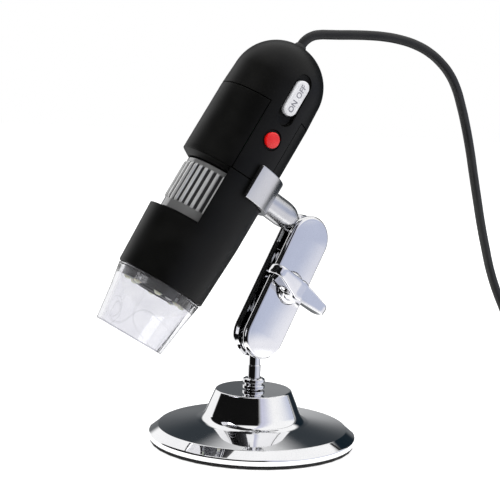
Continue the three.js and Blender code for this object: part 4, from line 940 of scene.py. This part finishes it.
def lower_housing():
    """The lower half, flared to its full radius, with its spigot inside the sleeve and its window."""
    seam = SEAM - SEAM_GAP
    body = lathed("housing_lower", [
        (14.6, 0, 0.2), (15.6, 0, 0.5), (HOUSING_RADIUS, WINDOW_FOOT, 2.5), (HOUSING_RADIUS, seam, 0.12),
        (SPIGOT, seam, 0), (SPIGOT, 48, 0.2), (SPIGOT_BORE, 48, 0.2), (SPIGOT_BORE, 41.3, 0),
        (SPIGOT, 41.3, 0), (SPIGOT, 0, 0.2)], 5, 160)
    return tidied(cut(body, pie("window", WINDOW, WINDOW_FOOT, 60)))


def sleeve():
    """The upper sleeve, with the lip that closes the window's top and the room for the cap's tongue."""
    foot, top = SEAM + SEAM_GAP, DOME_SEAM - SEAM_GAP
    body = lathed("housing_sleeve", [(HOUSING_RADIUS, foot, 0.12), (TOP_RADIUS, top, 0.12),
                                     (SLEEVE_BORE, top, 0), (SLEEVE_BORE, foot, 0)], 4, 160)
    lip = lathed("lip", [(13.6, 41.4, 0.2), (16.2, 42.95, 0.5), (HOUSING_RADIUS, 44.6, 0),
                         (SPIGOT_BORE, 44.6, 0), (SPIGOT_BORE, 41.4, 0)], 4, 160)
    gap = math.degrees(CLEARANCE / HOUSING_RADIUS)
    kept_inside(lip, pie("keep", (WINDOW[0] + gap, WINDOW[1] - gap), 38, 49))
    added(body, lip)
    return tidied(cut(body, pie("tongue room", (TONGUE[0] - gap, TONGUE[1] + gap), 36, 73)))


def side_oval(name, length, width, near, far, height):
    """A block of long oval section that stands out of the housing's button side."""
    made = prism(name, oval(length, width), near, far)
    made.data.transform(on_side(height))
    return made


def half_ball(radius):
    """The outline of a half ball over the skirt: r = R cos t, z = centre + R sin t."""
    turn = np.linspace(0, np.pi / 2, 33)
    outline = np.column_stack([radius * np.cos(turn), DOME_CENTRE + radius * np.sin(turn)])
    outline[-1, 0] = 0
    return outline


def cap_shell():
    """The dome on its faintly tapered skirt, hollow, with the spigot that goes into the sleeve."""
    seam = DOME_SEAM + SEAM_GAP
    skirt = rounded([(SPIGOT_BORE, 63.4, 0.1), (SPIGOT, 63.4, 0.2), (SPIGOT, seam, 0),
                     (TOP_RADIUS, seam, 0.12), (16.25, 71.5, 3), (DOME_RADIUS, DOME_CENTRE, 0)], 5)
    last = [(DOME_BORE, DOME_CENTRE - 4), (SPIGOT_BORE, 70.05)]
    outline = np.vstack([skirt, half_ball(DOME_RADIUS)[1:], half_ball(DOME_BORE)[::-1], last])
    return turned("housing_cap", outline, 160)


def cap_tongue():
    """The tongue that runs down from the cap beside the sleeve."""
    seam, foot = DOME_SEAM + SEAM_GAP, SEAM + SEAM_GAP
    tongue = lathed("tongue", [
        (HOUSING_RADIUS - 0.01, foot, 0.1), (TOP_RADIUS, seam, 0), (TOP_RADIUS - 0.08, seam + 0.9, 0),
        (15.2, seam + 1.2, 0), (SLEEVE_BORE, foot, 0)], 4, 160)
    return kept_inside(tongue, pie("keep", TONGUE, 36, 100))


def switch_well():
    """The wall round the switch's recess, kept inside the dome's face."""
    well = side_oval("well", RECESS_LENGTH + RECESS_WALL, RECESS_WIDTH + RECESS_WALL, 12.6, 16.2, RECESS)
    skirt = [(0, 50), (DOME_RADIUS, 50), (DOME_RADIUS, DOME_CENTRE)]
    limit = np.vstack([skirt, half_ball(DOME_RADIUS)[1:] * (0.99, 1) + (0, -0.2)])
    return kept_inside(well, turned("limit", limit, 96, False))


def dome_cap():
    """The cap, cut for the switch's recess and slot, the button's flared hole and the cord."""
    cap = added(cap_shell(), cap_tongue(), switch_well())
    recess = stacked("recess", [(oval(RECESS_LENGTH, RECESS_WIDTH, inset), depth)
                                for inset, depth in RECESS_LAYERS])
    recess.data.transform(on_side(RECESS))
    hole = bar("hole", 3.0, (0, 0, 8), (0, 0, 22))
    flare = lathed("flare", [(0, 15.7, 0), (3.4, 15.7, 0.25), (3.9, 17.8, 0), (0, 17.8, 0)], 4, 64, False)
    for made in (hole, flare):
        made.data.transform(on_side(BUTTON))
    return tidied(cut(cap, recess, side_oval("slot", 8.4, 2.6, 8, 22, 72.2), hole, flare,
                      bar("outlet", 2.1, (0, 0, 80), (0, 0, 98))))


def add_housing():
    dress(lower_housing(), SCOPE, "microscope", "black_soft", "lower_body")
    dress(sleeve(), SCOPE, "microscope", "black_soft", "upper_sleeve")
    dress(dome_cap(), SCOPE, "microscope", "black_soft", "top_cap")
    relief = lathed("cord_relief", [(1.72, 90.6, 0), (2.05, 90.6, 0), (2.05, 92.3, 0.1), (2.35, 92.35, 0.15),
                                    (1.95, 93.3, 0.3), (1.72, 93.6, 0)], 3, 48)
    dress(relief, SCOPE, "microscope", "black_rubber")


# Nose, lens and lamps: heights and angles as the housing's. FITTED_RADIUS fits into its lower edge

RING_RADIUS, RING_FOOT, RING_TOP = 13.1, 22.3, 41
RIBS, RIB_STEPS, RIB_FOOT, RIB_TOP = 36, 14, 25.3, 39.6
RIB_HEIGHT, GROOVE_DEPTH, RIB_END = 0.5, 0.12, 0.8
FITTED_RADIUS, TUBE_RADIUS, TUBE_BORE = 14.1, 10.7, 8.7
BARREL_RADIUS, BARREL_BORE, LENS_SEAT, LENS_RADIUS, LENS_BULGE = 8.4, 6.9, 3.5, 3.2, 0.6
LAMPS, LAMP_CIRCLE, LAMP_RADIUS = 8, 10.25, 1.3


def nose_cap():
    """The clear cap, widening from its tip up to the neck that plugs into the housing."""
    return lathed("nose_cap_clear", [
        (12.2, CAP_TIP, 0.35), (13.7, -8.8, 1.5), (15.2, -0.3, 0.3), (FITTED_RADIUS, -0.3, 0),
        (FITTED_RADIUS, 5, 0.25), (RING_RADIUS, 5, 0.2), (RING_RADIUS, -3.5, 0.4), (12.2, -8.8, 1.5),
        (10.7, CAP_TIP, 0.3)], 5, 160)


def eased(share):
    """A share from 0 to 1 with a soft start and end, s^2 (3 - 2s)."""
    return share * share * (3 - 2 * share)


def focus_ring():
    """The ribbed ring, x = r cos a, y = r sin a. Its outer radius r steps out on each rib and in at each
    groove, eased over the angle a and, towards the plain ends, eased over the height."""
    bore, wall_face = 11, RING_RADIUS - 0.01
    outline = rounded([(bore, RING_FOOT, 0.15), (RING_RADIUS, RING_FOOT, 0.3), (RING_RADIUS, RING_TOP, 0.3),
                       (bore, RING_TOP, 0.15)], 4, True)
    steps = np.array([-0.05, 0, 0.25, 0.55, RIB_END])
    heights = np.concatenate([RIB_FOOT + steps, np.linspace(RIB_FOOT + 1.2, RIB_TOP - 1.2, 9),
                              RIB_TOP - steps[::-1]])
    wall = np.column_stack([np.full(len(heights), RING_RADIUS), heights])
    below = (outline[:, 0] > wall_face) & (outline[:, 1] < RIB_FOOT)
    split = int(np.where(below)[0].max()) + 1
    outline = np.vstack([outline[:split], wall, outline[split:]])
    from_end = np.minimum(outline[:, 1] - RIB_FOOT, RIB_TOP - outline[:, 1])
    rise = np.where(outline[:, 0] > wall_face, eased(np.clip(from_end / RIB_END, 0, 1)), 0)[:, None]
    turn = np.linspace(0, 2 * np.pi, RIBS * RIB_STEPS, endpoint=False)
    across = np.abs((turn * RIBS / (2 * np.pi) + 0.5) % 1 - 0.5) * 2
    crest = eased(np.clip((0.62 - across) / 0.3, 0, 1))
    radius = outline[:, :1] + rise * (RIB_HEIGHT * crest - GROOVE_DEPTH * (1 - crest))
    points = np.stack([radius * np.cos(turn), radius * np.sin(turn), outline[:, 1:] + 0 * turn], -1)
    faces = sheet_faces(len(outline), len(turn), True, True)
    return mesh_of("focus_ring_ribbed", points.reshape(-1, 3), faces)


def lens_mount():
    """The lens barrel, with the seat round the lens near its front."""
    return lathed("lens_mount", [
        (BARREL_RADIUS, -3.8, 1.4), (BARREL_RADIUS, 29.2, 0.2), (BARREL_BORE, 29.2, 0.1),
        (BARREL_BORE, 1.9, 0), (LENS_SEAT, 1.9, 0), (LENS_SEAT, -1.1, 0), (4.6, -1.1, 0), (4.6, -2.6, 0.3),
        (6.6, -3.4, 0.5), (7.0, -3.8, 0.2)], 6, 128)


def lens():
    """Two faces that bulge by b (1 - s^2), where s is the share of the radius."""
    share = np.linspace(0, 1, 9)
    bulge = LENS_BULGE * (1 - share ** 2)
    front = np.column_stack([LENS_RADIUS * share, -0.8 - bulge])
    back = np.column_stack([LENS_RADIUS * share, 1.0 + bulge])[::-1]
    return turned("lens_turned", np.vstack([front, back]), 64, False)


def chassis():
    """The inner tube with its flanges, notches at the front and a slot for the lens barrel's pin."""
    corners = [(12.2, -3.1, 0.1), (12.8, -3.1, 0.2), (12.8, 2, 0.2), (TUBE_RADIUS, 2, 0.2)]
    for radius, low, high, edge in ((FITTED_RADIUS, 6, 8, 0.1), (13, 19.7, 22, 0.1), (12.6, 43.3, 45.8, 0)):
        corners += [(TUBE_RADIUS, low, 0), (radius, low, edge), (radius, high, edge), (TUBE_RADIUS, high, 0)]
    corners += [(TUBE_RADIUS, 48.7, 0), (TUBE_BORE, 48.7, 0), (TUBE_BORE, -1.2, 0), (12.2, -1.2, 0)]
    notches = []
    for angle in (-153, -88):
        notch = block("notch", (11.9, -0.8, -5), (16, 0.8, 2.3))
        notch.data.transform(Matrix.Rotation(math.radians(angle), 4, "Z"))
        notches.append(notch)
    tube = lathed("chassis_tube", corners, 3, 128)
    return tidied(cut(tube, *notches, block("pin slot", (-20, -1.3, 25.7), (0, 1.3, 34.3))))


def on_lamp_circle(quarters):
    """A place on the lamps' circle, counted in quarter turns from the button's side."""
    turn = BUTTON_ANGLE + quarters * math.pi / 2
    return Matrix.Translation((LAMP_CIRCLE * math.cos(turn), LAMP_CIRCLE * math.sin(turn), 0))


def board_screw(number):
    """A screw with a cross slot in its head."""
    screw = lathed(f"lamp_board_screw_{number}", [
        (0, -3.5, 0), (0.95, -3.5, 0.2), (1.2, -3.1, 0.15), (1.2, -2.8, 0), (0.7, -2.8, 0), (0.7, -0.2, 0),
        (0, -0.2, 0)], 4, 40, False)
    return cut(screw, *[block("slot", (-x, -y, -4), (x, y, -3.2)) for x, y in ((0.14, 0.75), (0.75, 0.14))])


def lamp(number):
    """A lamp: a flattened half ball, r = R sin t, z = level - h cos t, on a flange."""
    arc = np.linspace(0, np.pi / 2, 9)
    dome = np.column_stack([LAMP_RADIUS * np.sin(arc), -3.3 - 0.8 * np.cos(arc)])
    dome[0, 0] = 0
    flange = rounded([(LAMP_RADIUS, -3.3, 0), (1.5, -3.2, 0.05), (1.5, -2.8, 0), (0, -2.8, 0)], 2)
    return turned(f"lamp_dome_{number}", np.vstack([dome, flange[1:]]), 40, False)


def add_lamps():
    """The lamp board with its two screws and its ring of lamps."""
    board = lathed("lamp_board_lacquered", [(11.9, -2.5, 0.1), (11.9, -1.5, 0.1), (TUBE_BORE, -1.5, 0.05),
                                            (TUBE_BORE, -2.5, 0.1)], 2, 128)
    for number in (1, 2):
        place = on_lamp_circle(2 * (number - 1))
        cut(board, bar("hole", 1.0, place @ Vector((0, 0, -4)), place @ Vector((0, 0, 4)), 32))
        dress(board_screw(number), SCOPE @ place, "microscope", "steel", f"board_screw_{number}")
    dress(board, SCOPE, "microscope", "board_grey", "lamp_board")
    for number in range(1, LAMPS + 1):
        place = SCOPE @ on_lamp_circle((number - 0.5) * 4 / LAMPS)
        dress(lamp(number), place, "microscope", "lamp_resin", f"lamp_{number}")


def add_nose():
    dress(nose_cap(), SCOPE, "nose_cap", "clear_plastic", "nose_cap")
    dress(focus_ring(), SCOPE, "focus_ring", "ring_metal", "focus_ring", crease=50)
    dress(lens_mount(), SCOPE, "lens_carriage", "black_plastic", "lens_barrel")
    dress(lens(), SCOPE, "lens_carriage", "lens_glass", "objective_lens")
    retainer = lathed("lens_ring", [(4.2, -2.6, 0.15), (4.2, -1.8, 0), (2.7, -1.8, 0.1),
                                    (3.0, -2.6, 0.2)], 3, 64)
    dress(retainer, SCOPE, "lens_carriage", "black_plastic", "lens_retainer")
    dress(chassis(), SCOPE, "microscope", "black_plastic", "chassis")
    add_lamps()


# Controls: heights are distances from the housing's axis

BUTTON_TOP, BUTTON_CROWN, BUTTON_FALL = TOP_RADIUS + 0.8, 2.45, 0.35
KNOB_LENGTH, KNOB_WIDTH, KNOB_FOOT, KNOB_TOP, KNOB_EDGE = 12.7, 4.8, 14.5, 16.7, 0.5
LETTER_SIZE, LETTER_DEPTH, LETTER_WEIGHT = 2.7, 0.02, 0.05
WORDS = (("ON", -3.0), ("OFF", 2.5))


def button_cap():
    """The button: its crown falls by f s^2, where s is the share of the crown's radius."""
    share = np.linspace(1, 0, 9)
    crown = np.column_stack([BUTTON_CROWN * share, BUTTON_TOP - BUTTON_FALL * share ** 2])
    body = rounded([
        (0, 12.2, 0), (1, 12.2, 0), (1, 13.4, 0), (3.25, 13.4, 0), (3.25, 13.9, 0.1), (2.65, 13.9, 0),
        (2.65, BUTTON_TOP - 0.5, 0.2), (BUTTON_CROWN, BUTTON_TOP - BUTTON_FALL, 0)], 4)
    return turned("snapshot_button_cap", np.vstack([body, crown[1:]]), 64, False)


def switch_knob():
    """The knob: a long oval whose upper edge is drawn in along a quarter circle, with its stem."""
    def ring(inset, height):
        return oval(KNOB_LENGTH, KNOB_WIDTH, inset), height

    edge = KNOB_TOP - KNOB_EDGE
    layers = [ring(0.1, KNOB_FOOT), ring(0, KNOB_FOOT + 0.15), ring(0, edge)]
    for a in np.linspace(0.2, math.pi / 2, 6):
        layers.append(ring(KNOB_EDGE * (1 - math.cos(a)), edge + KNOB_EDGE * math.sin(a)))
    layers.append(ring(1.6, KNOB_TOP + 0.06))
    return added(stacked("lamp_switch_cap", layers), prism("stem", oval(4, 2), 11.2, KNOB_FOOT + 0.3))


def switch_word(word):
    """A word of the switch's lettering, made a thin mesh."""
    data = bpy.data.curves.new("lettering", "FONT")
    data.body, data.size, data.extrude, data.offset = word, LETTER_SIZE, LETTER_DEPTH, LETTER_WEIGHT
    data.align_x, data.align_y, data.resolution_u = "CENTER", "CENTER", 4
    flat = new_object("lettering", data)
    mesh = evaluated(flat)
    bpy.data.objects.remove(flat)
    return new_object(f"switch_word_{word.lower()}", mesh)


def add_controls():
    dress(button_cap(), SCOPE @ on_side(BUTTON), "snapshot_button", "red_plastic", "snapshot_button")
    dress(switch_knob(), SCOPE @ on_side(SWITCH), "lamp_switch", "white_plastic", "lamp_switch_knob")
    quarter = Matrix.Rotation(math.pi / 2, 4, "Z")
    for word, shift in WORDS:
        place = SCOPE @ on_side(SWITCH) @ Matrix.Translation((0, shift, KNOB_TOP + 0.07)) @ quarter
        dress(switch_word(word), place, "lamp_switch", "print")


# Plain inner parts keep their solids

INNER = {
    "base_pad": "pad_foam", "base_weight": "cast_iron", "stem_nut": "steel", "clamp_nut": "steel",
    "sensor_board": "board_green", "image_sensor": "black_plastic", "main_board": "board_green",
    "snapshot_switch": "steel", "lamp_switch_body": "steel", "cable_clamp": "black_rubber",
}


def finish_inner():
    for node, slot in INNER.items():
        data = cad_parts[node].data
        data.materials.clear()
        data.materials.append(FINISHES[slot])


# Studio. A direction is a turn in degrees, from the camera's side to the right, and a height, -1 to 1

WHITE, SCREEN_BLACK = (1, 1, 1, 1), (0.006, 0.006, 0.006, 1)
SHADE_LOW, SHADE_HIGH, SHADE_DEEP = (0.88, 0.88, 0.93, 1), (0.52, 0.56, 0.70, 1), (0.20, 0.23, 0.32, 1)
CORNER_TINT, BACK_TINT = (0.60, 0.61, 0.74, 1), (0.1, 0.2, 0.3, 1)
SOFT_LIGHT = 0.62
FLOOR_COLOUR, FLOOR_GLOW, FLOOR_FADE = (0.82, 0.82, 0.82, 1), 0.52, (0.05, 0.085)
FLOOR_SIZE, FLOOR_LEVELS = 3.0, (-0.01, -0.0002)
# Place and size in metres, and power in watts
SOFTBOXES = (((-0.5, -0.5, 0.9), 0.7, 5.0), ((0.6, -0.2, 0.8), 0.6, 3.0), ((0.0, 0.6, 0.9), 0.8, 3.0))


def product(tree, first, *others):
    """All the values multiplied, in order."""
    for other in others:
        first = calc(tree, "MULTIPLY", first, other)
    return first


def fall(tree, value, low, high):
    """1 below low and 0 above high, smoothly."""
    return ramp(tree, value, low, high, 1.0, 0.0)


def mirrored_room(tree):
    """What reflections see: a white room with a dark screen in front and to the left, a blue-grey wall
    low on the right that pales downwards, and a dark wall behind with a post in it, lighter low down and
    in its middle."""
    x, y, z = put(tree, "SeparateXYZ", put(tree, "TexCoord").outputs["Generated"]).outputs
    turn = calc(tree, "MULTIPLY", calc(tree, "ARCTAN2", x, calc(tree, "MULTIPLY", y, -1.0)), 180 / math.pi)
    screen_left = calc(tree, "SUBTRACT", turn, ramp(tree, z, 0.28, 0.32, -114, -121))
    screen = product(tree, ramp(tree, screen_left, -2, 2), fall(tree, turn, 15, 27),
                     fall(tree, z, 0.80, 0.88))
    right = product(tree, ramp(tree, turn, 20, 28), fall(tree, turn, 118, 126), fall(tree, z, 0.12, 0.42))
    around = calc(tree, "ADD", ramp(tree, turn, 118, 132), fall(tree, turn, -158, -151))
    behind = product(tree, around, fall(tree, z, 0.5, 0.62))
    centre = product(tree, ramp(tree, turn, 166, 178), ramp(tree, z, 0.08, 0.36, 0.34, 0.0))
    wall = calc(tree, "ADD", ramp(tree, z, 0.05, 0.45, 0.16, 0.03), centre)
    from_post = calc(tree, "ABSOLUTE", calc(tree, "SUBTRACT", turn, 143))
    wall = product(tree, wall, ramp(tree, from_post, 12, 20, 0.05, 1.0))
    wall = put(tree, "CombineColor", wall, wall, wall).outputs[0]
    shade = mixed(tree, fall(tree, z, -0.34, -0.08), SHADE_HIGH, SHADE_LOW)
    shade = mixed(tree, ramp(tree, turn, 26, 62, 0.7, 0.0), shade, SHADE_DEEP)
    corner = product(tree, ramp(tree, turn, 18, 24), fall(tree, turn, 28, 62))
    room = mixed(tree, right, mixed(tree, corner, WHITE, CORNER_TINT), shade)
    room = mixed(tree, screen, room, SCREEN_BLACK)
    return mixed(tree, behind, room, mixed(tree, 0.07, wall, BACK_TINT))


def seen_rays(tree, light_path):
    """1 for what the camera sees, by itself or through something clear."""
    rays = light_path.outputs
    return calc(tree, "MAXIMUM", rays["Is Camera Ray"], rays["Is Transmission Ray"])


def add_world():
    """White behind the object, plain soft light on it, and the room only in its reflections."""
    world = bpy.data.worlds.new("studio")
    bpy.context.scene.world = world
    world.use_nodes = True
    tree = world.node_tree
    tree.nodes.clear()
    light_path = put(tree, "LightPath")
    glossy = put(tree, "Background", mirrored_room(tree), 1.0)
    plain = put(tree, "Background", WHITE, SOFT_LIGHT)
    white = put(tree, "Background", WHITE, 1.0)
    first = put(tree, "MixShader", light_path.outputs["Is Glossy Ray"], plain.outputs[0], glossy.outputs[0])
    second = put(tree, "MixShader", seen_rays(tree, light_path), first.outputs[0], white.outputs[0])
    put(tree, "OutputWorld", second.outputs[0])


def add_floor():
    """A pale floor. Reflections see it only near the stand, and further out the room."""
    side = FLOOR_SIZE
    square = np.array([(-side, -side), (side, -side), (side, side), (-side, side)])
    floor = prism("floor", square, *FLOOR_LEVELS)
    made = bpy.data.materials.new("pale floor")
    made.use_nodes = True
    tree = made.node_tree
    tree.nodes.clear()
    light_path = put(tree, "LightPath")
    glossy_ray = light_path.outputs["Is Glossy Ray"]
    diffuse = put(tree, "BsdfDiffuse", FLOOR_COLOUR)
    glow = put(tree, "Emission", WHITE, FLOOR_GLOW)
    both = put(tree, "AddShader", diffuse.outputs[0], glow.outputs[0])
    place = put(tree, "TexCoord").outputs["Object"]
    far = put(tree, "VectorMath", place, operation="LENGTH").outputs["Value"]
    gone = product(tree, ramp(tree, far, *FLOOR_FADE), glossy_ray)
    seen = calc(tree, "MAXIMUM", seen_rays(tree, light_path), glossy_ray)
    near = put(tree, "MixShader", seen, diffuse.outputs[0], both.outputs[0])
    open_floor = put(tree, "BsdfTransparent")
    last = put(tree, "MixShader", gone, near.outputs[0], open_floor.outputs[0])
    put(tree, "OutputMaterial", last.outputs[0])
    floor.data.materials.append(made)


def add_lights():
    """Three square softboxes that reflections don't see."""
    for place, size, power in SOFTBOXES:
        data = bpy.data.lights.new("softbox", "AREA")
        data.shape, data.size, data.energy = "SQUARE", size, power
        light = new_object("softbox", data)
        light.location = place
        aim = Vector((0, 0, 0.07)) - Vector(place)
        light.rotation_mode = "QUATERNION"
        light.rotation_quaternion = aim.to_track_quat("-Z", "Y")
        light.visible_glossy = False


add_camera()
add_cord()
add_stand()
add_arm()
add_clip()
add_housing()
add_nose()
add_controls()
finish_inner()
add_world()
add_floor()
add_lights()
bpy.context.scene.view_settings.view_transform = "Standard"
